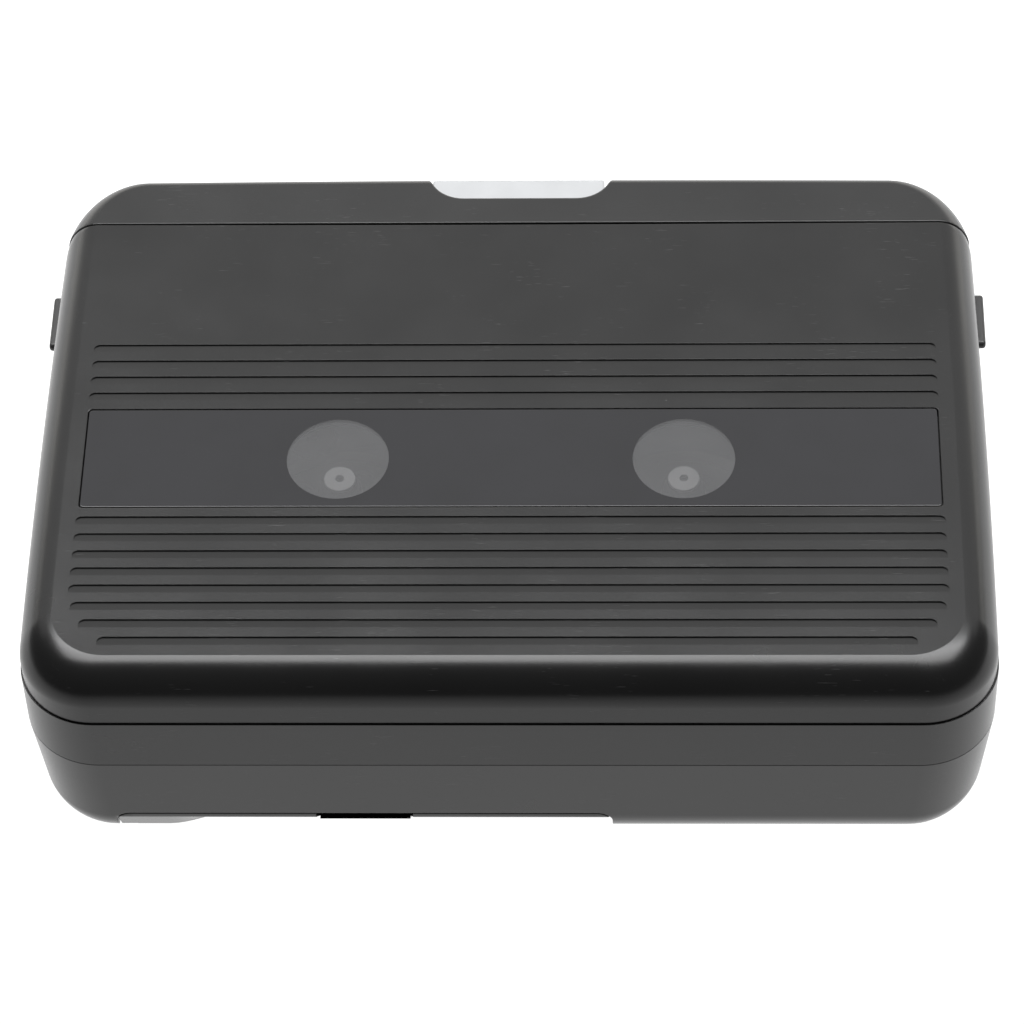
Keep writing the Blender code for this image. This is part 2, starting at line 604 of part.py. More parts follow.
def make_electronics():
    y = HUB_Y
    box("circuit_board", (13.4, y - 30.5, 3.6), (48.8, y + 13.6, 4.8), BOARD)
    box("amplifier_chip", (20, y - 20, 5.1), (30, y - 14, 7.6), DARK)
    for index, x in enumerate((19, 27)):
        pin(f"capacitor_{index + 1}", (x, y + 4.0), 2.6, 5.1, 12.5, DARK, 16)
    box("volume_pot", (44.4, y + 2.2, 5.1), (54.8, y + 10.2, 10.2), DARK)
    disc = pin("volume_wheel", VOLUME, 7.0, 10.9, 13.5, DARK, 36)
    hinge_empty("volume_axis", (*VOLUME, 0), disc)
    headphone = box("headphone_jack", (43.8, HEADPHONE_Y - 4.0, 5.1), (56.2, HEADPHONE_Y + 4.0, 12.8), DARK)
    dc = box("dc_jack", (44.8, DC_Y - 4.0, 5.1), (56.2, DC_Y + 4.2, 12.8), DARK)
    for jack, y_mid, radius in ((headphone, HEADPHONE_Y, 1.9), (dc, DC_Y, 2.3)):
        cut(jack, cylinder(f"{jack.name}_bore", (54, y_mid, JACK_Z), radius, 12, "X", segments=16))
    box("power_switch", (16.5, y + 27.0, 17.3), (23.0, y + 33.0, 19.6), DARK)


def make_battery_contacts():
    left, right, front, rear = BAY
    box("battery_bridge_contact", (left + 0.3, front + 2.0, 3.0), (left + 0.7, rear - 2.0, 13.6), STEEL)
    y_front, y_rear = front + CELL_RADIUS + 0.2, rear - CELL_RADIUS - 0.2
    for name, y in (("battery_terminal_plus", y_front), ("battery_terminal_minus", y_rear)):
        box(name, (right - 0.7, y - 4.5, 3.5), (right - 0.3, y + 4.5, 13.2), STEEL)
    for name, y, start, way in (
        ("battery_spring_front", y_front, left + 1.35, 1),
        ("battery_spring_rear", y_rear, right - 1.35, -1),
    ):
        turns, per_turn, pitch = 3, 10, 1.1
        points = []
        for step in range(turns * per_turn + 1):
            share = step / (turns * per_turn)
            angle = 2 * math.pi * turns * share
            radius = 3.4 - 1.4 * share
            x = start + way * pitch * turns * share
            points.append((x, y + radius * math.cos(angle), 8.4 + radius * math.sin(angle)))
        wire(name, points, 0.3, STEEL)


def make_screws():
    profile = [(0, 17.6), (1.0, 17.6), (1.0, 1.9), (2.2, 1.9), (2.2, 0.6), (0, 0.6)]
    for index, point in enumerate(SCREW_POINTS):
        turned(f"case_screw_{index + 1}", point, profile, STEEL, 12)


make_base()
make_battery_door()
make_frame()
make_door()
make_release_buttons()
make_keys()
make_deck()
make_reels()
make_capstan()
make_idler()
make_motor()
make_belt()
make_head()
make_pinch_roller()
make_electronics()
make_battery_contacts()
make_screws()
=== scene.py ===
"""The looks of a portable compact-cassette player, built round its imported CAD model.

+X is to the right, +Y towards the keys, +Z up out of the lid. Sizes are in millimetres, and become
metres as each mesh is made. Places come from the CAD nodes' boxes.
"""

import math

import bmesh
import bpy
from mathutils import Matrix, Vector


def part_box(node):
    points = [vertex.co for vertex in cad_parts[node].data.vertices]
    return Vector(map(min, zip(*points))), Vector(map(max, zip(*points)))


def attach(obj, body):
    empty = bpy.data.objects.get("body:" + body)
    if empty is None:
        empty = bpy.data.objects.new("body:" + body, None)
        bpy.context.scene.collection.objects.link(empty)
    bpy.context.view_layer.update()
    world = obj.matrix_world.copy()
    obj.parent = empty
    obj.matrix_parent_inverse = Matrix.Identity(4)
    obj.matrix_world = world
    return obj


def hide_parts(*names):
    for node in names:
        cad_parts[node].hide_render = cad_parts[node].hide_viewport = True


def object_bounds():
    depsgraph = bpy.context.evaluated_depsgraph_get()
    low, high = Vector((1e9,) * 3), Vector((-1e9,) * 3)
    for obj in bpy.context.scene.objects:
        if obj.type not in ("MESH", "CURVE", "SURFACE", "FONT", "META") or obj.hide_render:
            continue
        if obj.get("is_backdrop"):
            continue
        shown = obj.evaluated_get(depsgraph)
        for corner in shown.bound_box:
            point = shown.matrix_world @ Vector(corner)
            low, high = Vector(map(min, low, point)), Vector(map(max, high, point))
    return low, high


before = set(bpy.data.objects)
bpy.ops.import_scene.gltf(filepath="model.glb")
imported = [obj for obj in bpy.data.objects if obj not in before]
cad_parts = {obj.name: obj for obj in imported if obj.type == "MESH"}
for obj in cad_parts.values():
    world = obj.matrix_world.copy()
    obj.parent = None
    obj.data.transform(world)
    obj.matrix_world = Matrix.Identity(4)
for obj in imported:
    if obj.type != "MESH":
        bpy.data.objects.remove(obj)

cad_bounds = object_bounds()
MM = 0.001


def span(node):
    """Lowest and highest corner of a CAD node, in millimetres."""
    return [[c / MM for c in corner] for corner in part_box(node)]


def middle(node):
    low, high = span(node)
    return [(a + b) / 2 for a, b in zip(low, high)]


# The case, from the CAD shells. Each seam lies in the gap between two of them.
(_, FRONT, DOOR_LOW), (HALF, DOOR_REAR, TOP) = span("door")
(_, _, FRAME_LOW), (_, FRAME_REAR, _) = span("mid_frame")
BASE_HIGH = span("base_shell")[1][2]
PROUD = 0.2
REAR = FRAME_REAR - PROUD
CAD_SEAM = 0.5
SEAM_DROP = 0.12
DOOR_SEAM = DOOR_LOW - CAD_SEAM / 2 - SEAM_DROP
REAR_SEAM = DOOR_REAR + CAD_SEAM / 2
HUB_X, HUB_Y, _ = middle("supply_shaft")
SIDES = ((-1, "left"), (1, "right"))

# The thickness of the shells, and how far the large cutters reach past them.
WALL = 1.8
BEYOND = 80

# The gaps that show: round the lid, behind it, how far its rear edge sags at the middle, and round the cover.
SEAM = 0.06
REAR_GAP = 0.14
REAR_SAG = 0.16
COVER_GAP = 0.24

# The finer outline of the case, which the CAD shells only block out: its bowed sides and its corners, the
# flat plate on top and the shoulder that falls from it, then the foot, slope and draft of the lower case.
SWELL = 0.15
BOW = 0.42
BOW_MIDDLE = HUB_Y - 6.0
BOW_REACH = 40.0
CORNER_FRONT = 9.1
CORNER_REAR = 10.3
PLATE_HALF = HALF - 4.0
PLATE_FRONT = FRONT + 4.5
PLATE_REAR = REAR - 0.9
PLATE_CORNER = 6.7
SHOULDER_SIDE = 5.3
SHOULDER_FRONT = 4.6
SHOULDER_REAR = 0.9
CREASE = math.radians(8)
REAR_BOW = 0.35
SLOPE_TOP = 4.75
SLOPE_DEPTH = 1.85
FOOT = 0.35
BASE_DRAFT = 1.4
FRONT_DRAFT = 0.3
COVER_DEPTH = 3.9
BASE_FULLER = 0.9
ARC_STEPS = 18
SIDE_STEPS = 10
SHOULDER_STEPS = 16
SLOPE_STEPS = 8

# The ribbed field of the lid.
GROOVE_PITCH = 2.632
GROOVE_RAMP = 1.15
GROOVE_DEPTH = 0.16
GROOVE_END = 1.0
UPPER_GROOVE = HUB_Y + 18.64
LOWER_GROOVE = HUB_Y - 9.08
UPPER_LENGTHS = (52.73,) * 4
LOWER_LENGTHS = (52.84,) * 5 + (52.4, 51.2, 48.8)
WINDOW_RADIUS = 6.3
LENS_GAP = 0.15

# The hinge ears of the frame, with the slots and lugs of the lid round them, the notch above the play key,
# the battery cover's finger notch, and the places of the sockets and of the head's two windows.
EAR = (45.5, 48.0)
EAR_SLOT = (45.2, 48.3)
LUGS = ((42.4, 45.2), (48.3, 50.4))
NOTCH_FLOOR = HUB_Y + 43.75
NOTCH_CORNER = 4.5
FINGER_NOTCH = (-23.9, -12.0)
FINGER_SILL = 3.3
SOCKET_Z = 9.2
HEAD_WINDOWS = (20.8, 24.4)
SMALL_KEYS = {"stop_key": "stop", "fast_forward_key": "fast_forward", "rewind_key": "rewind"}

# The studio. The floor's glow rises from front to rear, over FLOOR_REACH in metres.
CAMERA_PLACE = (18.24, -353.56, 450.33)
CAMERA_AZIMUTH = -3.03
CAMERA_ELEVATION = 51.04
CAMERA_ROLL = -2.44
CAMERA_LENS = 155.85
FLOOR_REACH = (-0.22, 0.1)
FLOOR_GLOW = (0.45, 1.5)
FLOOR_DROP = 0.2
WORLD_GREY = 0.1

# Each light's name, azimuth, elevation, distance, width and height in metres, radiance and colour.
LIGHTS = (
    ("back_low", 0, 10, 1.6, 4.4, 0.68, 2.2, (1, 0.985, 0.95)),
    ("back_high", 0, 41, 1.6, 3.6, 1.1, 0.94, (1, 1, 1)),
    ("top_light", 8, 75.5, 1.4, 1.6, 0.57, 8.2, (1, 1, 1)),
    ("top_strip", 8, 67.5, 1.4, 1.6, 0.17, 8.2, (0.97, 0.98, 1)),
)


# Meshes


def placed(name, data):
    made = bpy.data.objects.new(name, data)
    bpy.context.scene.collection.objects.link(made)
    return made


def as_object(name, work):
    """Turns a bmesh in metres into an object."""
    mesh = bpy.data.meshes.new(name)
    work.to_mesh(mesh)
    work.free()
    return placed(name, mesh)


def add(name, work):
    """Turns a closed bmesh, drawn in millimetres, into an object in metres."""
    bmesh.ops.recalc_face_normals(work, faces=work.faces)
    if work.calc_volume(signed=True) < 0:
        bmesh.ops.reverse_faces(work, faces=work.faces)
    bmesh.ops.scale(work, vec=(MM, MM, MM), verts=work.verts)
    return as_object(name, work)


def loft(name, rings):
    """A closed solid through rings of points, with flat ends."""
    work = bmesh.new()
    loops = [[work.verts.new(point) for point in ring] for ring in rings]
    for lower, upper in zip(loops, loops[1:]):
        for i, vert in enumerate(lower):
            j = (i + 1) % len(lower)
            work.faces.new((vert, lower[j], upper[j], upper[i]))
    work.faces.new(loops[0][::-1])
    work.faces.new(loops[-1])
    return add(name, work)


def rounded(points, radius, steps=6):
    """A closed flat outline with its corners turned into arcs. radius is one number, or one a corner."""
    radii = [radius] * len(points) if isinstance(radius, (int, float)) else radius
    found = []
    for index, corner in enumerate(points):
        here = Vector(corner)
        back = Vector(points[index - 1]) - here
        ahead = Vector(points[(index + 1) % len(points)]) - here
        half = back.angle(ahead) / 2
        reach = min(radii[index] / math.tan(half), 0.49 * back.length, 0.49 * ahead.length)
        if reach < 1e-6:
            found.append(tuple(here))
            continue
        start, end = here + back.normalized() * reach, here + ahead.normalized() * reach
        centre = here + (back.normalized() + ahead.normalized()).normalized() * reach / math.cos(half)
        first, last = start - centre, end - centre
        way = 1 if first.x * last.y - first.y * last.x > 0 else -1
        share = math.radians(180) - 2 * half
        for step in range(steps + 1):
            turn = share * step / steps
            cos, sin = math.cos(turn), way * math.sin(turn)
            x, y = first.x * cos - first.y * sin, first.x * sin + first.y * cos
            found.append((centre.x + x, centre.y + y))
    return found


def rectangle(left, right, front, rear, radius, steps=6):
    return rounded([(left, front), (right, front), (right, rear), (left, rear)], radius, steps)


def area(outline):
    return sum(a[0] * b[1] - a[1] * b[0] for a, b in zip(outline, outline[1:] + outline[:1])) / 2


def shrunk(outline, inset):
    """The outline moved inwards, along the mean of its two edges' normals at each point."""
    way = 1 if area(outline) > 0 else -1
    found = []
    for index, point in enumerate(outline):
        here = Vector(point)
        along = (Vector(outline[(index + 1) % len(outline)]) - Vector(outline[index - 1])).normalized()
        found.append(tuple(here + Vector((-along.y, along.x)) * inset * way))
    return found


def prism(name, outline, low, high, axis="Z", edge=0.0, steps=3):
    """A flat outline extruded along an axis, with the edges of both ends rounded by edge."""
    place = {
        "Z": lambda u, v, w: (u, v, w),
        "X": lambda u, v, w: (w, u, v),
        "Y": lambda u, v, w: (u, w, v),
    }[axis]
    levels = []
    if edge:
        for step in range(steps + 1):
            turn = math.radians(90 * step / steps)
            levels.append((edge * (1 - math.sin(turn)), edge * (1 - math.cos(turn))))
    else:
        levels.append((0.0, 0.0))
    rings = [[place(u, v, low + rise) for u, v in shrunk(outline, inset)] for inset, rise in levels]
    rings += [[place(u, v, high - rise) for u, v in shrunk(outline, inset)] for inset, rise in levels[::-1]]
    return loft(name, rings)


def block(name, low, high, radius, edge, axis="Z"):
    """A block between two corners, with its corners rounded across the axis and its ends' edges rounded."""
    u, v, w = {"Z": (0, 1, 2), "X": (1, 2, 0), "Y": (0, 2, 1)}[axis]
    return prism(name, rectangle(low[u], high[u], low[v], high[v], radius), low[w], high[w], axis, edge)


def circle(x, y, radius, steps=48):
    return [
        (x + radius * math.cos(2 * math.pi * i / steps), y + radius * math.sin(2 * math.pi * i / steps))
        for i in range(steps)
    ]


def turned(name, point, profile, steps=64, rounding=0.0):
    """A turned piece about an upright axis. The profile is a closed outline of (radius, z)."""
    if rounding:
        radii = [0.0 if radius < 1e-6 else rounding for radius, _ in profile]
        profile = rounded(profile, radii, 3)
    work = bmesh.new()
    rings = []
    for radius, z in profile:
        ring = circle(0, 0, radius, 1 if radius < 1e-6 else steps)
        rings.append([work.verts.new((point[0] + u, point[1] + v, z)) for u, v in ring])
    for first, second in zip(rings, rings[1:] + rings[:1]):
        for i in range(steps):
            j = (i + 1) % steps
            around = ((first, i), (first, j), (second, j), (second, i))
            corners = list(dict.fromkeys(ring[k % len(ring)] for ring, k in around))
            if len(corners) > 2:
                work.faces.new(corners)
    return add(name, work)


def wire(name, points, radius, cyclic=False):
    """A round wire through points, as a closed mesh."""
    curve = bpy.data.curves.new(name, "CURVE")
    curve.dimensions = "3D"
    curve.bevel_depth = radius * MM
    curve.bevel_resolution = 3
    curve.use_fill_caps = True
    spline = curve.splines.new("POLY")
    spline.points.add(len(points) - 1)
    for point, place in zip(spline.points, points):
        point.co = (*(c * MM for c in place), 1)
    spline.use_cyclic_u = cyclic
    line = placed(name, curve)
    work = bmesh.new()
    work.from_mesh(line.to_mesh())
    bpy.data.objects.remove(line)
    bmesh.ops.remove_doubles(work, verts=work.verts, dist=1e-7)
    bmesh.ops.scale(work, vec=(1 / MM,) * 3, verts=work.verts)
    return add(name, work)


def gather(name, pieces):
    """Several separate meshes as one object."""
    work = bmesh.new()
    for piece in pieces:
        work.from_mesh(piece.data)
        bpy.data.objects.remove(piece)
    return as_object(name, work)


def boolean(target, other, operation):
    step = target.modifiers.new("step", "BOOLEAN")
    step.operation = operation
    step.object = other
    step.solver = "EXACT"
    graph = bpy.context.evaluated_depsgraph_get()
    mesh = bpy.data.meshes.new_from_object(target.evaluated_get(graph))
    target.modifiers.clear()
    target.data = mesh
    bpy.data.objects.remove(other)


def cut(target, *others):
    """Cuts pieces that are clear of each other out of the target."""
    boolean(target, gather("cutter", others), "DIFFERENCE")


def join(target, other):
    boolean(target, other, "UNION")


def edge_middle(edge):
    return (edge.verts[0].co + edge.verts[1].co) / 2 / MM


def soften(piece, width, test, segments=3):
    """Rounds the edges that turn by more than 45 degrees and whose middle, in millimetres, passes a test."""
    work = bmesh.new()
    work.from_mesh(piece.data)
    bmesh.ops.dissolve_degenerate(work, dist=1e-7, edges=work.edges)
    chosen = []
    for edge in work.edges:
        if len(edge.link_faces) != 2 or edge.calc_face_angle(0) < math.radians(45):
            continue
        if test(edge_middle(edge)):
            chosen.append(edge)
    bmesh.ops.bevel(
        work, geom=chosen, offset=width * MM, offset_type="OFFSET", segments=segments, profile=0.5,
        affect="EDGES", clamp_overlap=False,
    )
    work.to_mesh(piece.data)
    work.free()


def shade(piece, sharp, crease):
    """Smooth faces, with edges kept sharp by their angle or, where crease says so, past a few degrees."""
    work = bmesh.new()
    work.from_mesh(piece.data)
    for face in work.faces:
        face.smooth = True
    for edge in work.edges:
        turn = math.degrees(edge.calc_face_angle(0))
        on_crease = crease is not None and turn > 5 and crease(edge_middle(edge))
        edge.smooth = turn < sharp and not on_crease
    work.to_mesh(piece.data)
    work.free()
    even = piece.modifiers.new("even_normals", "WEIGHTED_NORMAL")
    even.keep_sharp = True


def dress(piece, paint, body, nodes=(), slot=None, sharp=40, crease=None):
    """Shades and paints a piece, hangs it on the empty of the body it rides on, and hides the CAD nodes it
    stands for.
    """
    shade(piece, sharp, crease)
    piece.data.materials.clear()
    piece.data.materials.append(paint[0])
    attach(piece, body)
    slot or paint[1]
    if nodes:
        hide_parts(*nodes)


# Materials


class Paint:
    """A Principled material whose detail is built up from noise in object coordinates."""

    def __init__(self, name, colour, roughness, metallic=0.0, **sockets):
        self.material = bpy.data.materials.new(name)
        self.material.use_nodes = True
        self.tree = self.material.node_tree
        self.shader = self.tree.nodes["Principled BSDF"]
        self.roughness = roughness
        self.colour = self.tint(colour)
        self.normal = None
        self.shader.inputs["Base Color"].default_value = self.colour
        self.shader.inputs["Roughness"].default_value = roughness
        self.shader.inputs["Metallic"].default_value = metallic
        for socket, value in sockets.items():
            self.shader.inputs[socket.replace("_", " ")].default_value = value
        self.place = self.node("ShaderNodeTexCoord").outputs["Object"]

    def tint(self, colour, gain=1.0):
        channels = colour if hasattr(colour, "__len__") else (colour,) * 3
        return tuple(c * gain for c in channels[:3]) + (1.0,)

    def node(self, kind, **inputs):
        made = self.tree.nodes.new(kind)
        for name, value in inputs.items():
            self.feed(made.inputs[name.replace("_", " ")], value)
        return made

    def feed(self, socket, value):
        if isinstance(value, bpy.types.NodeSocket):
            self.tree.links.new(value, socket)
        else:
            socket.default_value = value

    def stretched(self, stretch):
        return self.node("ShaderNodeMapping", Vector=self.place, Scale=stretch).outputs[0]

    def noise(self, size, detail, stretch=(1, 1, 1)):
        """Noise from 0 to 1 whose features are about size millimetres."""
        place = self.stretched(stretch)
        made = self.node("ShaderNodeTexNoise", Vector=place, Scale=1 / (size * MM), Detail=detail)
        return made.outputs[0]

    def between(self, value, low, high, to_low=0.0, to_high=1.0):
        made = self.node("ShaderNodeMapRange", Value=value)
        for socket, number in zip(list(made.inputs)[1:5], (low, high, to_low, to_high)):
            socket.default_value = number
        return made.outputs[0]

    def product(self, a, b):
        made = self.node("ShaderNodeMath")
        made.operation = "MULTIPLY"
        self.feed(made.inputs[0], a)
        self.feed(made.inputs[1], b)
        return made.outputs[0]

    def layer(self, mask, colour):
        """Lays a colour over the base colour where the mask is 1."""
        mix = self.node("ShaderNodeMix")
        mix.data_type = "RGBA"
        self.feed(mix.inputs["Factor"], mask)
        self.feed(mix.inputs[6], self.colour)
        self.feed(mix.inputs[7], colour)
        self.colour = mix.outputs[2]
        self.feed(self.shader.inputs["Base Color"], self.colour)
        return self

    def mottle(self, size, amount, stretch=(1, 1, 1)):
        """Slow changes of colour and of gloss."""
        slow = self.noise(size, 2.0, stretch)
        base = self.shader.inputs["Base Color"].default_value[:3]
        self.layer(self.between(slow, 0.35, 0.65), self.tint(base, 1 + amount))
        gloss = self.noise(size * 0.6, 4.0, stretch)
        swing = self.roughness * amount * 0.6
        rough = self.between(gloss, 0.3, 0.7, self.roughness - swing, self.roughness + swing)
        self.feed(self.shader.inputs["Roughness"], rough)
        return self

    def grain(self, size, depth, detail=2.0, stretch=(1, 1, 1)):
        """A fine relief, depth millimetres high."""
        made = self.node("ShaderNodeBump", Height=self.noise(size, detail, stretch), Distance=depth * MM)
        made.inputs["Strength"].default_value = 1.0
        if self.normal is not None:
            self.feed(made.inputs["Normal"], self.normal)
        self.normal = made.outputs[0]
        self.feed(self.shader.inputs["Normal"], self.normal)
        return self

    def specks(self, spacing, radius, share, colour):
        """Dust: small light dots in a share of the cells of a grid of scattered points."""
        cells = self.node("ShaderNodeTexVoronoi", Vector=self.place, Scale=1 / (spacing * MM))
        dot = self.between(cells.outputs["Distance"], radius / spacing, radius / spacing * 0.6)
        pick = self.node("ShaderNodeSeparateColor", Color=cells.outputs["Color"]).outputs[0]
        chosen = self.between(pick, 1 - share, 1 - share + 0.01)
        return self.layer(self.product(dot, chosen), self.tint(colour))

    def scratches(self, length, width, share, colour):
        """Short fine scratches, lying mostly one way."""
        streak = self.noise(width, 1.0, (width / length, 1, 1))
        patch = self.between(self.noise(length * 2, 1.0), 0.55, 0.62)
        line = self.between(streak, 1 - share, 1 - share + 0.02)
        return self.layer(self.product(line, patch), self.tint(colour))

    def done(self, slot):
        return self.material, slot


def case_paint(name, colour, specular):
    paint = Paint(name, colour, 0.25, Specular_IOR_Level=specular)
    paint.mottle(22, 0.16).specks(3.2, 0.09, 0.05, 0.16).scratches(2.4, 0.07, 0.27, 0.07)
    return paint.grain(0.16, 0.0022).grain(0.5, 0.002).done("case_plastic")


def lens_paint():
    paint = Paint("lens_black", (0.007, 0.007, 0.009), 0.09, Coat_Weight=0.3, Coat_Roughness=0.05)
    return paint.mottle(9, 0.25).specks(4.5, 0.06, 0.06, 0.2).grain(6, 0.003).done("window_acrylic")


def window_paint():
    """Tinted acrylic: a thin film that scatters a little, so what is behind shows through it."""
    paint = Paint("window_clear", (0.147, 0.148, 0.152), 0.08, Alpha=0.45)
    return paint.mottle(5, 0.08).specks(2.5, 0.05, 0.05, 0.6).grain(5, 0.002).done("window_acrylic")


def moulded_paint(name, colour, slot, roughness):
    paint = Paint(name, colour, roughness)
    return paint.mottle(6, 0.18).specks(3, 0.06, 0.03, 0.2).grain(0.14, 0.002).grain(1.2, 0.004).done(slot)


def silver_paint():
    paint = Paint("silver_lacquer", (0.43, 0.438, 0.447), 0.34, 0.25, Coat_Weight=0.25, Coat_Roughness=0.2)
    return paint.mottle(5, 0.05).specks(2.2, 0.05, 0.05, 0.35).grain(0.1, 0.0012).done("silver_plastic")


def metal_paint(name, colour, slot, roughness, stretch=(1, 12, 12)):
    paint = Paint(name, colour, roughness, 1.0)
    return paint.mottle(4, 0.16, stretch).grain(0.5, 0.0015, 3.0, stretch).grain(3, 0.002).done(slot)


def rubber_paint():
    paint = Paint("rubber_black", 0.02, 0.78)
    return paint.mottle(2, 0.35).specks(1.5, 0.05, 0.06, 0.12).grain(0.12, 0.006).done("rubber")


def board_paint():
    """A green board with its tracks and their gaps as long steps of two crossed noises."""
    paint = Paint("board_green", (0.012, 0.085, 0.03), 0.32)
    tracks = paint.noise(3.2, 0.0, (0.25, 1, 1))
    runs = paint.noise(3.2, 0.0, (1, 0.25, 1))
    lighter = paint.tint((0.02, 0.15, 0.05))
    paint.layer(paint.between(tracks, 0.55, 0.57), lighter)
    paint.layer(paint.between(runs, 0.58, 0.6), lighter)
    return paint.specks(2.54, 0.45, 0.35, (0.55, 0.5, 0.4)).grain(1.5, 0.01).done("circuit_board")


LID_CASE = case_paint("lid_black", 0.007, 0.41)
CASE = case_paint("case_black", 0.014, 0.44)
BASE_CASE = case_paint("base_black", 0.016, 0.54)
LENS = lens_paint()
WINDOW = window_paint()
SILVER = silver_paint()
KEY = moulded_paint("key_black", 0.02, "dark_plastic", 0.4)
DARK = moulded_paint("inner_black", 0.03, "dark_plastic", 0.5)
GREY = moulded_paint("acetal_grey", (0.36, 0.36, 0.345), "grey_plastic", 0.42)
HUB = moulded_paint("hub_grey", (0.6, 0.6, 0.6), "grey_plastic", 0.5)
STEEL = metal_paint("plated_steel", (0.33, 0.335, 0.345), "steel", 0.42)
POLISHED = metal_paint("ground_steel", (0.6, 0.6, 0.61), "steel", 0.18, (1, 1, 14))
NICKEL = metal_paint("nickel", (0.72, 0.68, 0.6), "steel", 0.26)
BRASS = metal_paint("turned_brass", (0.76, 0.56, 0.26), "brass", 0.28, (1, 1, 10))
RUBBER = rubber_paint()
BOARD = board_paint()


# The case


def plan(half, front, rear, front_radius, rear_radius):
    """A case outline in plan, anticlockwise from the front right, as (x, y, angle of the outward normal).

    The sides bow out a little at BOW_MIDDLE, and the rear bows out at the middle.
    """
    corners = [(1, front, front_radius), (1, rear, rear_radius)]
    corners += [(-1, end, radius) for _, end, radius in corners[::-1]]
    found = []
    for index, (side, end, radius) in enumerate(corners):
        centre_x = side * (half - radius)
        centre_y = end + radius if end == front else end - radius
        for step in range(ARC_STEPS + 1):
            angle = math.radians(90 * (index - 1 + step / ARC_STEPS))
            found.append((centre_x + radius * math.cos(angle), centre_y + radius * math.sin(angle), angle))
        far_x = corners[(index + 1) % 4][0]
        start_x, start_y, _ = found[-1]
        steps = SIDE_STEPS if index < 3 else 1
        end_x = start_x if index in (0, 2) else far_x * (half - radius)
        end_y = start_y if index in (1, 3) else (rear - rear_radius if index == 0 else front + front_radius)
        for step in range(1, steps):
            share = step / steps
            found.append((start_x + (end_x - start_x) * share, start_y + (end_y - start_y) * share, angle))
    bowed = []
    for x, y, angle in found:
        narrower = BOW * ((y - BOW_MIDDLE) / BOW_REACH) ** 2 / HALF
        bowed.append((x * (1 - narrower), y - REAR_BOW * (x / HALF) ** 2 * max(0, math.sin(angle)), angle))
    return bowed


def case_plan(inset, proud, fuller=0.0):
    grow = proud - inset
    radii = (CORNER_FRONT + grow + fuller, CORNER_REAR + grow + fuller)
    return plan(HALF + SWELL + grow, FRONT - grow, REAR + grow, *radii)


def moved_in(ring, z, amounts):
    return [(x - a * math.cos(t), y - a * math.sin(t), z) for (x, y, t), a in zip(ring, amounts)]


def shoulder_height(angle):
    far = SHOULDER_FRONT if math.sin(angle) < 0 else SHOULDER_REAR
    return SHOULDER_SIDE + (far - SHOULDER_SIDE) * math.sin(angle) ** 2


def upper_rings(low, top=TOP, inset=0.0, proud=0.0, edge=0.0):
    """The upper case: an eased lower edge, a straight side, and a shoulder that meets the plate's crease."""
    outer = case_plan(inset, proud)
    radii = (PLATE_CORNER - inset,) * 2
    plate = plan(PLATE_HALF - inset, PLATE_FRONT + inset, PLATE_REAR - inset, *radii)
    rings = []
    for step in range(4):
        turn = math.radians(30 * step)
        back = [edge * (1 - math.sin(turn))] * len(outer)
        rings.append(moved_in(outer, low + edge * (1 - math.cos(turn)), back))
        if not edge:
            break
    for step in range(SHOULDER_STEPS + 1):
        tilt = math.pi / 2 + (CREASE - math.pi / 2) * step / SHOULDER_STEPS
        out = (math.sin(tilt) - math.sin(CREASE)) / (1 - math.sin(CREASE))
        fall = (math.cos(CREASE) - math.cos(tilt)) / math.cos(CREASE)
        ring = []
        for (x, y, angle), (px, py, _) in zip(outer, plate):
            drop = max(shoulder_height(angle) - inset, 0.3) * fall
            ring.append((px + (x - px) * out, py + (y - py) * out, top - drop))
        rings.append(ring)
    return rings


def lower_rings(low, high, inset=0.0, edge=0.0):
    """The lower case: a foot that curves up into sides that draft out to the seam, and an eased edge."""
    levels = []
    for step in range(4):
        turn = math.radians(30 * step)
        levels.append((low + FOOT * (1 - math.cos(turn)), SLOPE_DEPTH + FOOT * (1 - math.sin(turn))))
    for step in range(1, SLOPE_STEPS + 1):
        share = step / SLOPE_STEPS
        z = low + FOOT + (SLOPE_TOP - low - FOOT) * share
        levels.append((z, SLOPE_DEPTH * (1 - share) ** 2))
    for step in range(4 if edge else 1):
        turn = math.radians(30 * step)
        levels.append((high - edge * (1 - math.sin(turn)), edge * (1 - math.cos(turn))))
    rings = []
    for z, back in levels:
        share = min(max(1 - z / BASE_HIGH, 0), 1)
        ring = case_plan(inset, PROUD, BASE_FULLER * share)
        drafts = [BASE_DRAFT * math.cos(t) ** 2 + FRONT_DRAFT * math.sin(t) ** 2 for _, _, t in ring]
        rings.append(moved_in(ring, z, [back + share * draft for draft in drafts]))
    return rings


def slab(x_ends, y_ends, z_ends, side=1, radius=0.0, edge=0.0, axis="Z"):
    """A block given by its ends along each axis, mirrored to the left where side is -1."""
    x_low, x_high = sorted(side * x for x in x_ends)
    return block("slab", (x_low, y_ends[0], z_ends[0]), (x_high, y_ends[1], z_ends[1]), radius, edge, axis)


def groove(half_length, back):
    """The cutter for one groove of the lid: a steep back wall with round ends, and a floor that ramps up."""
    front = back - GROOVE_RAMP * 1.15
    outline = rounded(
        [(half_length, front), (half_length, back), (-half_length, back), (-half_length, front)],
        [0, GROOVE_END, GROOVE_END, 0],
    )
    floor = [(x, y, TOP - GROOVE_DEPTH * (1 - (back - y) / GROOVE_RAMP)) for x, y in outline]
    return loft("groove", [floor, [(x, y, TOP + 1) for x, y in outline]])


def groove_lines():
    upper = [(half, UPPER_GROOVE - GROOVE_PITCH * i) for i, half in enumerate(UPPER_LENGTHS)]
    return upper + [(half, LOWER_GROOVE - GROOVE_PITCH * i) for i, half in enumerate(LOWER_LENGTHS)]


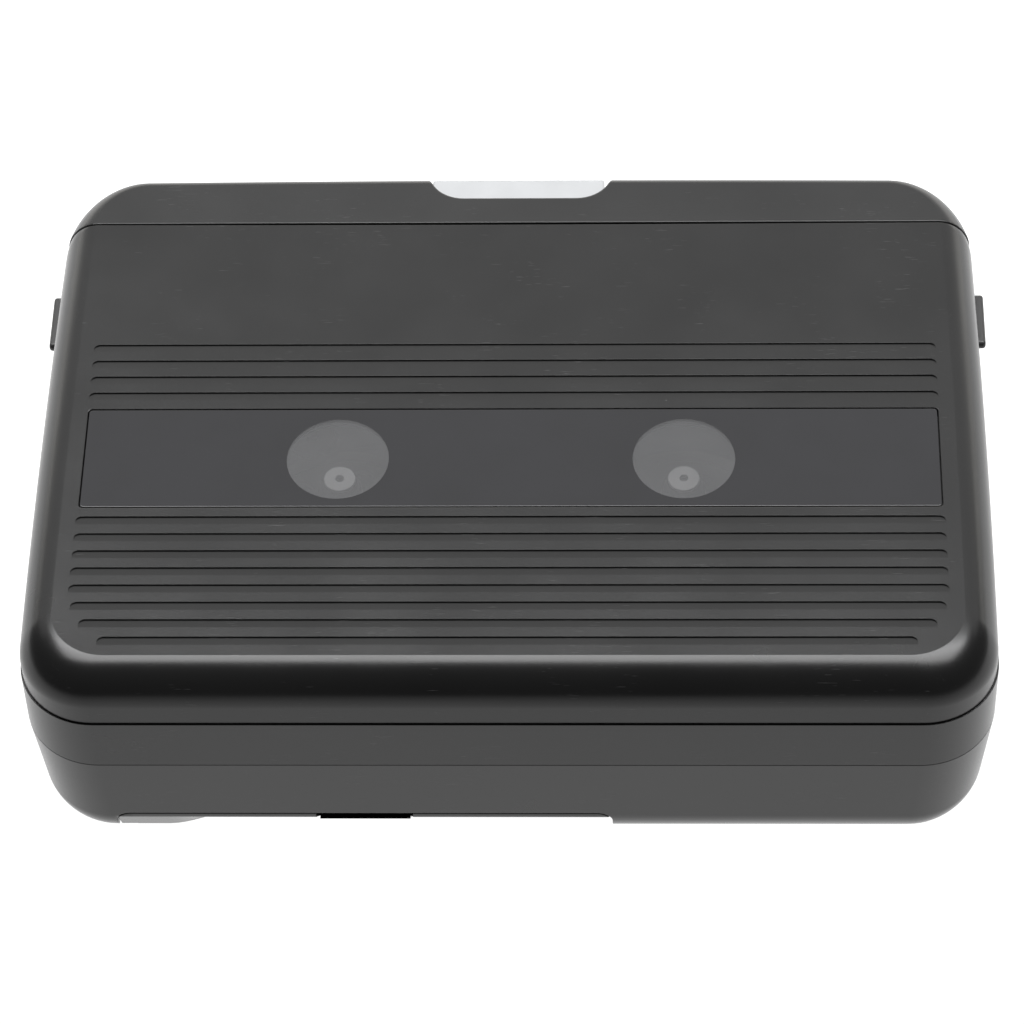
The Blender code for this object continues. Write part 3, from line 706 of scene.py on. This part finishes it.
def crossbar(name, place, radius, x_ends, side, steps=24):
    """A round bar along X about place, which is (y, z), mirrored to the left where side is -1."""
    return prism(name, circle(*place, radius, steps), *sorted(side * x for x in x_ends), "X")


def make_lid():
    (left, lens_front, lens_low), (right, lens_rear, _) = span("door_window")
    _, *hinge = middle("door_hinge_pin_right")
    hinge_y, hinge_z = hinge
    rear = REAR_SEAM - REAR_GAP / 2
    lid = loft("lid_shell", upper_rings(DOOR_SEAM + SEAM / 2, edge=0.1))
    cut(lid, loft("hollow", upper_rings(DOOR_LOW - 8, TOP - WALL, WALL)))
    sag = [(HALF * step / 8, rear - REAR_SAG * math.cos(math.pi * step / 16)) for step in range(-8, 9)]
    behind = [(BEYOND, rear), (BEYOND, BEYOND), (-BEYOND, BEYOND), (-BEYOND, rear)]
    cut(lid, prism("rear_cut", sag + behind, 0, BEYOND))
    join(lid, slab((-53.5, 53.5), (DOOR_REAR - 1.5, DOOR_REAR - 0.1), (28.3, 30.2), edge=0.2, axis="X"))
    for side, _ in SIDES:
        for x_ends in LUGS:
            y_ends, z_ends = (FRONT + 0.7, hinge_y + 1.5), (hinge_z - 1.5, hinge_z + 2.2)
            join(lid, slab(x_ends, y_ends, z_ends, side, 0.4, 0.2, "X"))
    front, back = lens_front - LENS_GAP, lens_rear + LENS_GAP
    recess = rectangle(left - LENS_GAP, right + LENS_GAP, front, back, 0.5)
    cutters = [groove(half, line) for half, line in groove_lines()]
    cutters.append(prism("recess", recess, lens_low - 0.1, TOP + 1))
    for side, _ in SIDES:
        cutters.append(slab(EAR_SLOT, (FRONT + 0.55, FRONT + 5), (20, hinge_z + 1.25), side))
        cutters.append(release_slot(side, 20))
    cut(lid, *cutters)
    wells = [
        prism("well", circle(side * HUB_X, HUB_Y, WINDOW_RADIUS + 0.6), 25, TOP - 0.8) for side, _ in SIDES
    ]
    bores = [crossbar("bore", hinge, 0.62, (42, 51), side) for side, _ in SIDES]
    cut(lid, *wells, *bores)
    lines = [line for _, line in groove_lines()]
    soften(lid, 0.07, lambda p: rear - REAR_SAG - 0.01 < p.y < rear + 0.01 and p.z > DOOR_LOW)
    soften(lid, 0.11, lambda p: abs(p.z - TOP) < 0.01 and min(abs(p.y - line) for line in lines) < 0.02)
    soften(lid, 0.08, lambda p: abs(p.z - TOP) < 0.01 and front - 0.01 < p.y < back + 0.01, 2)
    dress(lid, LID_CASE, "lid", ["door"], crease=lambda p: p.z > TOP - 0.01)


def release_slot(side, low):
    """A cutter for the gap that a lid button moves in, open at the seam."""
    y, high = middle("release_button_right")[1], span("release_button_right")[1][2]
    outline = rectangle(y - 5.05, y + 3.85, low, high + 0.15, 0.7)
    return prism("release_slot", outline, *sorted((side * 54, side * 62)), "X")


def make_lens():
    (left, front, low), (right, rear, _) = span("door_window")
    outline = rectangle(left, right, front, rear, 0.45)
    lens = prism("lens_panel", outline, low, TOP - 0.01, edge=0.08, steps=2)
    holes = []
    for side, _ in SIDES:
        rings = []
        for z, wider in ((low - 1, 0.7), (TOP - 0.34, 0), (TOP + 1, 0)):
            rings.append([(x, y, z) for x, y in circle(side * HUB_X, HUB_Y, WINDOW_RADIUS + wider, 96)])
        holes.append(loft("hole", rings))
    cut(lens, *holes)
    dress(lens, LENS, "lid", ["door_window"])
    for side, tag in SIDES:
        disc = circle(side * HUB_X, HUB_Y, WINDOW_RADIUS - 0.01, 96)
        dress(prism(f"window_{tag}", disc, TOP - 0.32, TOP - 0.01), WINDOW, "lid")


def notch_outline():
    """The finger notch above the play key, open at the rear."""
    left, right = span("play_key")[0][0] + 0.68, span("play_key")[1][0] - 0.2
    corners = [(left, REAR + 6), (left, NOTCH_FLOOR), (right, NOTCH_FLOOR), (right, REAR + 6)]
    return rounded(corners, [0, NOTCH_CORNER, NOTCH_CORNER, 0], 12)


def make_frame():
    top = DOOR_SEAM - SEAM / 2
    strip_front = REAR_SEAM + REAR_GAP / 2
    _, *hinge = middle("door_hinge_pin_right")
    hinge_y, hinge_z = hinge
    shell = loft("frame_shell", upper_rings(FRAME_LOW, proud=PROUD, edge=0.15))
    cut(shell, loft("hollow", upper_rings(FRAME_LOW - 5, TOP - WALL, 1.9, PROUD)))
    cut(shell, slab((-BEYOND, BEYOND), (-BEYOND, strip_front), (top, BEYOND)))
    for side, _ in SIDES:
        for x_ends, y_ends, z_ends in (
            (EAR, (FRONT + 1.1, FRONT + 5.2), (20.0, 23.2)),
            (EAR, (FRONT + 4.0, FRONT + 5.2), (20.5, hinge_z + 0.9)),
            (EAR, (hinge_y, FRONT + 4.7), (hinge_z - 0.72, hinge_z + 0.88)),
            ((52.6, 58.0), (HUB_Y - 18, HUB_Y - 14), (17.3, 19.0)),
            ((52.6, 58.0), (HUB_Y + 30, HUB_Y + 33.5), (17.3, 19.0)),
        ):
            join(shell, slab(x_ends, y_ends, z_ends, side))
        join(shell, crossbar("knuckle", hinge, 0.88, EAR, side, 40))
    cutters = [prism("notch", notch_outline(), TOP - 2.2, TOP + 2)]
    cutters += [release_slot(side, span("release_button_right")[1][2] - 1.55) for side, _ in SIDES]
    cutters += [crossbar("bore", hinge, 0.56, (44, 49), side) for side, _ in SIDES]
    (play_left, _, _), (play_right, _, _) = span("play_key")
    rear_wall = (REAR - 2.6, REAR + 3)
    slots = [slab((play_left + 0.8, play_right - 0.7), rear_wall, (18.7, TOP - 1.78))]
    for name in SMALL_KEYS:
        x = middle(name)[0]
        slots.append(slab((x - 4.8, x + 4.8), rear_wall, (18.7, 24.5), radius=0.5, axis="Y"))
    cut(shell, *cutters)
    cut(shell, *slots)
    notch = notch_outline()
    left, right = notch[0][0] - 0.02, notch[-1][0] + 0.02

    def on_notch(p):
        return left < p.x < right and NOTCH_FLOOR - 0.02 < p.y < REAR + PROUD + 0.05 and p.z > TOP - 1.7

    soften(shell, 0.07, lambda p: abs(p.z - top) < 0.01)
    soften(shell, 0.16, lambda p: abs(p.y - strip_front) < 0.01, 4)
    soften(shell, 0.3, on_notch, 4)
    soften(shell, 0.2, lambda p: abs(p.y - REAR - PROUD) < 0.02 and p.z < 27)
    dress(shell, CASE, "case", ["mid_frame"], crease=lambda p: p.z > TOP - 0.01)


def battery_outline(gap=0.0):
    """The battery cover as seen from the front, with its two upper corners rounded."""
    (left, _, _), (right, _, high) = span("battery_door")
    left, right = left - 2.1, right + 0.9
    points = [(left - gap, -2), (right + gap, -2), (right + gap, high + gap), (left - gap, high + gap)]
    return rounded(points, [0, 0, 1.6 + gap, 1.6 + gap], 8)


def make_base():
    _, (_, door_rear, _) = span("battery_door")
    base = loft("base_tray", lower_rings(0.0, BASE_HIGH, edge=0.15))
    cut(base, loft("hollow", lower_rings(1.4, BASE_HIGH + 4, WALL)))
    walls = slab((-47.7, 12.7), (door_rear - 0.5, door_rear + 0.7), (0.7, 14.9))
    for x_ends in ((-47.7, -46.5), (11.5, 12.7)):
        join(walls, slab(x_ends, (FRONT + 0.6, door_rear + 0.2), (0.9, 14.8)))
    boolean(walls, loft("limit", lower_rings(0.3, BASE_HIGH + 1, 0.3)), "INTERSECT")
    join(base, walls)
    bores = []
    for index in range(4):
        x, y, _ = middle(f"case_screw_{index + 1}")
        join(base, prism("boss", circle(x, y, 3.0, 40), 2.6, 15.6, edge=0.2))
        profile = [(0, 17), (1.3, 17), (1.3, 2.9), (2.6, 2.9), (2.6, -1), (0, -1)]
        bores.append(turned("bore", (x, y), profile, 40))
    cut(base, *bores)
    outline = battery_outline(COVER_GAP)
    cut(base, prism("battery_opening", outline, FRONT - 3, door_rear + 0.15, "Y"))
    _, y, z = middle("volume_wheel")
    side_wall = (54.5, 61)
    ports = [slab(side_wall, (y - 6.2, y + 6.2), (z - 1.7, z + 1.7), radius=0.6, axis="X")]
    for name, radius in (("headphone_jack", 2.5), ("dc_jack", 2.9)):
        ports.append(crossbar("port", (middle(name)[1], SOCKET_Z), radius, side_wall, 1, 48))
    cut(base, *ports)
    left, right = outline[0][0] - 0.1, outline[1][0] + 0.1
    soften(base, 0.08, lambda p: p.z < 5.4 and p.y < door_rear + 0.5 and left < p.x < right)
    soften(base, 0.25, lambda p: p.x > 55.5 and 5 < p.z < 14.2)
    dress(base, BASE_CASE, "case", ["base_shell"])


def cover_section(x, left, rear, high):
    """The battery cover cut across: its front, which slopes under more than the case does, and its floor."""
    eased = min(max((x - left - 6.0) / 9.0, 0), 1)
    depth = SLOPE_DEPTH + (COVER_DEPTH - SLOPE_DEPTH) * eased * eased * (3 - 2 * eased)
    front = FRONT + 0.1
    section = [(front, high), (front, SLOPE_TOP - 0.35), (front + 0.12, SLOPE_TOP - 0.65)]
    section += [(front + depth, FOOT), (front + depth + 0.1, 0.12), (front + depth + FOOT, 0.05)]
    section += [(rear, 0.05), (rear, 1.25), (front + depth + 1.9, 1.25)]
    section += [(front + 1.7, SLOPE_TOP), (front + 1.7, high)]
    return [(x, y, z) for y, z in section]


def make_battery_cover():
    _, (_, rear, high) = span("battery_door")
    left, right = battery_outline()[0][0], battery_outline()[1][0]
    stations = [left - 1 + step for step in range(17)] + [right + 1]
    cover = loft("battery_cover", [cover_section(x, left, rear, high) for x in stations])
    boolean(cover, prism("trim", battery_outline(), FRONT - 3, rear + 1, "Y"), "INTERSECT")
    notch_left, notch_right = FINGER_NOTCH
    notch = rectangle(notch_left, notch_right, FINGER_SILL, 9, [0.9, 0.9, 0, 0])
    cut(cover, prism("finger_notch", notch, FRONT - 3, FRONT + 3.2, "Y"))
    sill = [(FRONT + 0.55, FINGER_SILL), (FRONT + 3.2, 0.2), (FRONT + 4.6, 0.2), (FRONT + 3.3, FINGER_SILL)]
    join(cover, prism("sill", sill, notch_left + 0.4, notch_right - 0.4, "X"))
    grips = []
    for step in range(9):
        y = FRONT + 9 + 1.5 * step
        grips.append(prism("grip", rectangle(-26.5, -9.5, y - 0.35, y + 0.35, 0.34, 5), -1, 0.42))
    cut(cover, *grips)

    def on_outline(p):
        at_side = min(abs(p.x - left), abs(p.x - right)) < 1.7
        return at_side and p.z < high + 0.01 or p.z > high - 0.02 or p.y > rear - 0.02

    soften(cover, 0.12, on_outline)
    soften(cover, 0.12, lambda p: p.z < 0.06 and FRONT + 6 < p.y < rear - 1 and left + 2 < p.x < right - 2, 2)
    dress(cover, BASE_CASE, "battery_cover", ["battery_door"])


# Keys, buttons and sockets


def make_play_key():
    low, high = span("play_key")
    left, right = low[0] + 0.95, high[0] - 1.1
    front, rear = low[1] + 1.4, high[1] + 0.4
    section = rounded([(front, 19.0), (rear, 19.0), (rear, high[2]), (front, high[2])], [0, 0.8, 0.5, 0.2])
    key = prism("play_key_cap", section, left, right, "X", 0.35)
    root = block("root", low, (high[0], low[1] + 1.7, low[2] + 9.0), 0.3, 0.15)
    join(key, root)
    dress(key, SILVER, "play", ["play_key"])


def make_small_keys():
    for name, body in SMALL_KEYS.items():
        low, high = span(name)
        x = middle(name)[0]
        front, foot = low[1] + 5.2, high[2] - 6.0
        face = rectangle(x - 4.5, x + 4.5, foot, foot + 5.2, 0.6, 5)
        key = prism(f"{name}_cap", face, front + 0.8, high[1], "Y", 0.45)
        dish = []
        for step in range(13):
            across = -3.4 + 6.8 * step / 12
            dish.append((x + across, high[1] - 0.35 * math.cos(math.pi * across / 8)))
        dish = [(x - 3.6, high[1] + 2)] + dish + [(x + 3.6, high[1] + 2)]
        cut(key, prism("dish", dish, foot + 0.9, foot + 4.3))
        join(key, slab((x - 4.9, x + 4.9), (front, front + 1.7), (low[2], high[2]), radius=0.2, edge=0.2))
        join(key, block("stem", (x - 1.5, low[1], low[2] + 0.4), (x + 1.5, front + 0.3, 22.0), 0.2, 0.15))
        cut(key, slab((x - 3, x + 3), (low[1] + 0.9, low[1] + 4.8), (19.4, 20.9)))
        dress(key, KEY, body, [name])


def make_release_buttons():
    for side, tag in SIDES:
        node = f"release_button_{tag}"
        low, high = span(node)
        y, outer = middle(node)[1], max(abs(low[0]), abs(high[0]))
        face = rectangle(y - 4.9, y + 3.7, high[2] - 1.3, high[2] - 0.05, 0.6, 6)
        button = prism(f"release_{tag}", face, *sorted((side * 55.4, side * (outer + 0.2))), "X", 0.4, 4)
        join(button, slab((54.4, 56.4), (low[1], high[1]), (low[2], high[2] - 0.4), side, 0.2, 0.2))
        dress(button, KEY, f"release_{tag}", [node])


def make_volume_wheel():
    low, high = span("volume_wheel")
    x, y, _ = middle("volume_wheel")
    radius, teeth = (high[0] - low[0]) / 2, 44
    rim = []
    for step in range(teeth * 6):
        angle = 2 * math.pi * step / (teeth * 6)
        reach = radius - 0.22 + 0.22 * max(-0.6, math.cos(teeth * angle))
        rim.append((x + reach * math.cos(angle), y + reach * math.sin(angle)))
    top = high[2]
    wheel = prism("volume_knurl", rim, low[2], top, edge=0.3)
    cut(wheel, turned("face", (x, y), [(0, top + 1), (5.4, top + 1), (5.4, top - 0.4), (0, top - 0.4)]))
    join(wheel, prism("hub", circle(x, y, 1.6), top - 0.8, top - 0.1, edge=0.15))
    dress(wheel, DARK, "volume", ["volume_wheel"])


def make_sockets():
    for name, bore in (("headphone_jack", 1.8), ("dc_jack", 2.3)):
        low, high = span(name)
        y, tip = middle(name)[1], high[0]
        body = block(f"{name}_body", low, (tip - 1.2, high[1], high[2]), 0.5, 0.4, "X")
        join(body, prism("collar", circle(y, SOCKET_Z, bore + 0.75), tip - 1.7, tip + 0.4, "X", 0.2))
        cut(body, prism("bore", circle(y, SOCKET_Z, bore + 0.25), tip - 10, tip + 3, "X"))
        dress(body, DARK, "case", [name])
        sleeve = prism(f"{name}_sleeve", circle(y, SOCKET_Z, bore + 0.18), tip - 4, tip + 0.5, "X", 0.12)
        cut(sleeve, prism("bore", circle(y, SOCKET_Z, bore - 0.1), tip - 9, tip + 3, "X"))
        dress(sleeve, NICKEL, "case", slot="steel")
    y, tip = middle("dc_jack")[1], span("dc_jack")[1][0]
    pin = prism("dc_pin", circle(y, SOCKET_Z, 0.65, 32), tip - 9, tip - 1.2, "X", 0.3)
    dress(pin, POLISHED, "case", slot="steel")


def make_case_screws():
    for index in range(4):
        node = f"case_screw_{index + 1}"
        x, y, _ = middle(node)
        profile = [(0, 17.4), (0.95, 17.4), (0.95, 2.9), (2.2, 2.6), (2.2, 1.9), (1.6, 1.45), (0, 1.35)]
        screw = turned(f"{node}_head", (x, y), profile, 40, 0.12)
        cross, arm = [
            prism("arm", rectangle(x - a, x + a, y - b, y + b, 0.1, 2), 0.5, 2.3)
            for a, b in ((1.35, 0.24), (0.24, 1.35))
        ]
        join(cross, arm)
        cut(screw, cross)
        dress(screw, STEEL, "case", [node])


# The deck under the lid


def make_reels():
    for tag in ("takeup", "supply"):
        body = f"{tag}_reel"
        x, y, _ = middle(f"{tag}_shaft")
        low, high = span(f"{tag}_reel_table")
        rim = (high[0] - low[0]) / 2
        profile = [
            (3.2, high[2]), (3.2, 18.6), (4.6, 18.6), (4.6, 18.25), (rim - 1.6, 18.25), (rim - 1.6, 18.45),
            (rim, 18.45), (rim, low[2] + 0.15), (0.95, low[2] + 0.1), (0.95, high[2]),
        ]
        table = turned(f"{tag}_table", (x, y), profile, 96, 0.12)
        holes = []
        for step in range(6):
            angle = math.radians(60 * step + 15)
            hole = circle(x + 7.7 * math.cos(angle), y + 7.7 * math.sin(angle), 1.5, 32)
            holes.append(prism("hole", hole, low[2] - 1, high[2]))
        cut(table, *holes)
        dress(table, GREY, body, [f"{tag}_reel_table"])
        top = span(f"{tag}_spindle")[1][2]
        profile = [
            (0.0, top), (1.9, top), (1.95, top - 0.5), (2.7, 25.6), (2.7, 20.2), (0.95, 20.2),
            (0.95, top - 1.2), (0.0, top - 1.2),
        ]
        spindle = turned(f"{tag}_hub", (x, y), profile, 64, 0.14)
        for fin in range(3):
            angle = math.radians(90 + 120 * fin)
            along = Vector((math.cos(angle), math.sin(angle)))
            across = Vector((-along.y, along.x)) * 0.5
            near, far = Vector((x, y)) + along * 1.6, Vector((x, y)) + along * 3.9
            outline = [tuple(p) for p in (near - across, far - across, far + across, near + across)]
            join(spindle, prism("fin", rounded(outline, [0, 0.35, 0.35, 0], 5), 20.4, 25.3, edge=0.2))
        cut(spindle, prism("seat", circle(x, y, 3.0, 48), top - 0.5, top + 1))
        dress(spindle, DARK, body, [f"{tag}_spindle"])
        cap = prism(f"{tag}_cap", circle(x, y, 1.95, 64), top - 0.5, top, edge=0.12)
        cut(cap, prism("dimple", circle(x, y, 0.55, 32), top - 1, top + 1))
        dress(cap, HUB, body, slot="grey_plastic")
        shaft = prism(f"{tag}_post", circle(x, y, 0.78, 32), 15.2, top - 1.5, edge=0.2)
        dress(shaft, POLISHED, "case", [f"{tag}_shaft"])


def make_capstan():
    x, y, _ = middle("capstan_shaft")
    (_, _, low), (_, _, high) = span("capstan_shaft")
    shaft = prism("capstan", circle(x, y, 1.0, 48), low, high, edge=0.25)
    dress(shaft, POLISHED, "capstan", ["capstan_shaft"])
    profile = [
        (2.0, 19.4), (2.0, 17.9), (4.2, 17.9), (4.2, 17.3), (2.6, 17.3), (2.6, 15.7),
        (1.06, 15.7), (1.06, 19.4),
    ]
    dress(turned("capstan_bush", (x, y), profile, 64, 0.15), BRASS, "case", ["capstan_bearing"])
    (_, _, low), (right, _, high) = span("flywheel")
    rim = right - x
    profile = [
        (3.4, high), (3.4, 13.8), (5.0, 13.2), (rim - 2.2, 13.2), (rim - 1.8, 13.6), (rim, 13.6),
        (rim, 12.5), (rim - 0.3, 12.3), (rim - 0.3, 11.7), (rim, 11.5), (rim, 10.4), (3.0, 10.4), (3.0, low),
        (1.08, low), (1.08, high),
    ]
    dress(turned("flywheel_turned", (x, y), profile, 96, 0.1), BRASS, "capstan", ["flywheel"])


def make_pinch_roller():
    x, y, _ = middle("pinch_roller")
    (left, _, low), (right, _, high) = span("pinch_roller")
    radius = (right - left) / 2
    profile = [
        (radius - 0.15, high), (radius, high - 1.2), (radius, low + 1.2), (radius - 0.15, low), (1.4, low),
        (1.4, high),
    ]
    dress(turned("pinch_tyre", (x, y), profile, 72, 0.3), RUBBER, "pinch_wheel", ["pinch_roller"])
    profile = [(1.38, high - 0.1), (1.38, low + 0.1), (0.62, low + 0.1), (0.62, high - 0.1)]
    dress(turned("pinch_bush", (x, y), profile, 48, 0.1), BRASS, "pinch_wheel", slot="brass")
    x, y, _ = middle("pinch_roller_pin")
    (_, _, low), (_, _, high) = span("pinch_roller_pin")
    profile = [
        (0, high), (0.54, high), (0.54, 27.3), (0.3, 27.3), (0.3, 27.05), (0.54, 27.05),
        (0.54, low), (0, low),
    ]
    dress(turned("pinch_post", (x, y), profile, 32, 0.05), POLISHED, "pinch_arm", ["pinch_roller_pin"])


def make_head():
    """The playback head: a nickel shell with a curved face, two cores with their gaps, and a screwed foot."""
    (left, _, _), (right, back, high) = span("playback_head")
    x, y, _ = middle("playback_head")
    low, half, front = 19.4, 6.2, y - 2.9
    curve = []
    for step in range(13):
        share = -1 + step / 6
        curve.append((x + half * share, front + 1.1 * abs(share) ** 2.4))
    outline = curve + [(x + half, back), (x - half, back)]
    outline = rounded(outline, [0.2] + [0.0] * 11 + [0.2, 0.6, 0.6], 4)
    shell = prism("head_shell", outline, low, high, edge=0.35)
    foot = rectangle(left, right, front + 1.9, back - 0.3, 0.5)
    join(shell, prism("foot", foot, low - 1.0, low + 0.25, edge=0.1))
    windows = []
    for z in HEAD_WINDOWS:
        window = rectangle(x - 1.7, x + 1.7, z, z + 1.5, 0.2, 3)
        windows.append(prism("window", window, front - 1, front + 0.22, "Y"))
    cut(shell, *windows)
    dress(shell, NICKEL, "head_carriage", ["playback_head"])
    for index, z in enumerate(HEAD_WINDOWS):
        low_corner, high_corner = (x - 1.6, front + 0.04, z + 0.1), (x + 1.6, front + 0.3, z + 1.4)
        core = block(f"head_core_{index + 1}", low_corner, high_corner, 0.0, 0.02)
        cut(core, slab((x - 0.04, x + 0.04), (front - 1, front + 0.2), (z, z + 2)))
        dress(core, DARK, "head_carriage", slot="dark_plastic")
    for _, tag in SIDES:
        node = f"head_screw_{tag}"
        x, y, _ = middle(node)
        (_, _, low), (_, _, high) = span(node)
        profile = [(0, high), (1.0, high), (1.0, low), (0, low)]
        screw = turned(f"head_bolt_{tag}", (x, y), profile, 40, 0.15)
        cut(screw, slab((x - 2, x + 2), (y - 0.14, y + 0.14), (high - 0.35, high + 1)))
        dress(screw, BRASS, "head_carriage", [node])


def coil(x, y, z, way):
    """The points of a cone-shaped battery spring along X, wide end at x, growing in the direction of way."""
    turns, pitch, radius, shrink = 3, 1.1, 3.4, 1.4
    points = []
    for step in range(turns * 24 + 1):
        share = step / (turns * 24)
        angle = 2 * math.pi * turns * share
        reach = radius - shrink * share
        along = x + way * pitch * turns * share
        points.append((along, y + reach * math.cos(angle), z + reach * math.sin(angle)))
    return points


def make_springs_and_belt():
    for name, way in (("battery_spring_front", 1), ("battery_spring_rear", -1)):
        low, high = span(name)
        start = low[0] + 0.3 if way > 0 else high[0] - 0.3
        y = middle(name)[1]
        spring = wire(f"{name}_coil", coil(start, y, 8.4, way), 0.28)
        dress(spring, STEEL, "case", [name], sharp=80)
    x, y, _ = middle("capstan_shaft")
    px, py, _ = middle("motor_pulley")
    z = middle("drive_belt")[2]
    large, small = span("flywheel")[1][0] - x + 0.85, 3.4
    heading = math.atan2(py - y, px - x)
    lean = math.acos((large - small) / math.hypot(px - x, py - y))
    points = []
    for cx, cy, radius, first, last, steps in (
        (x, y, large, heading + lean, heading + 2 * math.pi - lean, 60),
        (px, py, small, heading - lean, heading + lean, 24),
    ):
        for step in range(steps + 1):
            angle = first + (last - first) * step / steps
            points.append((cx + radius * math.cos(angle), cy + radius * math.sin(angle), z))
    dress(wire("belt", points, 0.5, True), RUBBER, "case", ["drive_belt"], sharp=80)


def finish_cad_nodes():
    """CAD nodes that stay: their sharp edges are eased by modifiers, and each gets its finish."""
    table = {
        DARK: (
            "cassette_holder", "amplifier_chip", "capacitor_1", "capacitor_2", "volume_pot", "power_switch",
        ),
        STEEL: (
            "door_hinge_pin_left", "door_hinge_pin_right", "key_guide_rod", "deck_plate",
            "flywheel_bracket", "idler_shaft", "motor", "motor_shaft", "head_plate", "pinch_roller_arm",
            "pinch_arm_pivot", "cassette_spring_left", "cassette_spring_right", "battery_bridge_contact",
            "battery_terminal_plus", "battery_terminal_minus",
        ),
        GREY: ("idler_gear",),
        BRASS: ("motor_pulley",),
        BOARD: ("circuit_board",),
    }
    for paint, names in table.items():
        for name in names:
            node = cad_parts[name]
            node.data.materials.clear()
            node.data.materials.append(paint[0])
            node.data.shade_smooth()
            weld = node.modifiers.new("weld", "WELD")
            weld.merge_threshold = 1e-6
            easing = node.modifiers.new("easing", "BEVEL")
            easing.width = 0.12 * MM
            easing.segments = 2
            easing.limit_method = "ANGLE"
            easing.angle_limit = math.radians(40)
            node.modifiers.new("even_normals", "WEIGHTED_NORMAL").keep_sharp = True


# The studio


def make_camera():
    camera = placed("camera", bpy.data.cameras.new("camera"))
    camera.data.lens = CAMERA_LENS
    camera.data.sensor_width = 36
    turn = Matrix.Rotation(math.radians(-CAMERA_AZIMUTH), 4, "Z")
    tilt = Matrix.Rotation(math.radians(90 - CAMERA_ELEVATION), 4, "X")
    roll = Matrix.Rotation(math.radians(CAMERA_ROLL), 4, "Z")
    camera.matrix_world = Matrix.Translation(Vector(CAMERA_PLACE) * MM) @ turn @ tilt @ roll
    bpy.context.scene.camera = camera


def make_floor():
    work = bmesh.new()
    bmesh.ops.create_grid(work, x_segments=1, y_segments=1, size=4.0)
    floor = as_object("floor", work)
    floor.location.z = -FLOOR_DROP * MM
    paint = Paint("floor_white", (0.06, 0.06, 0.06), 0.8)
    paint.shader.inputs["Emission Color"].default_value = (1, 1, 1, 1)
    across = paint.node("ShaderNodeSeparateXYZ", Vector=paint.place).outputs[1]
    glow = paint.between(across, *FLOOR_REACH, *FLOOR_GLOW)
    paint.feed(paint.shader.inputs["Emission Strength"], glow)
    floor.data.materials.append(paint.material)
    floor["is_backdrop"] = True


def softbox(name, azimuth, elevation, distance, width, height, radiance, colour):
    """An area light that faces the object. Azimuth 0 is behind the object, and 90 to its right."""
    lamp = bpy.data.lights.new(name, "AREA")
    lamp.shape = "RECTANGLE"
    lamp.size = width
    lamp.size_y = height
    lamp.color = colour
    lamp.energy = radiance * math.pi * width * height
    made = placed(name, lamp)
    a, e = math.radians(azimuth), math.radians(elevation)
    way = Vector((math.sin(a) * math.cos(e), math.cos(a) * math.cos(e), math.sin(e)))
    made.location = way * distance
    made.rotation_euler = way.to_track_quat("Z", "Y").to_euler()


def make_lights():
    for light in LIGHTS:
        softbox(*light)
    world = bpy.data.worlds.new("studio")
    bpy.context.scene.world = world
    world.use_nodes = True
    world.node_tree.nodes["Background"].inputs["Color"].default_value = (WORLD_GREY,) * 3 + (1,)
    bpy.context.scene.view_settings.view_transform = "Standard"


make_camera()
make_floor()
make_lights()
finish_cad_nodes()
for make in (
    make_lid, make_lens, make_frame, make_base, make_battery_cover, make_play_key, make_small_keys,
    make_release_buttons, make_volume_wheel, make_sockets, make_case_screws, make_reels, make_capstan,
    make_pinch_roller, make_head, make_springs_and_belt,
):
    make()
[[list(map(float, corner)) for corner in box] for box in (cad_bounds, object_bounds())]
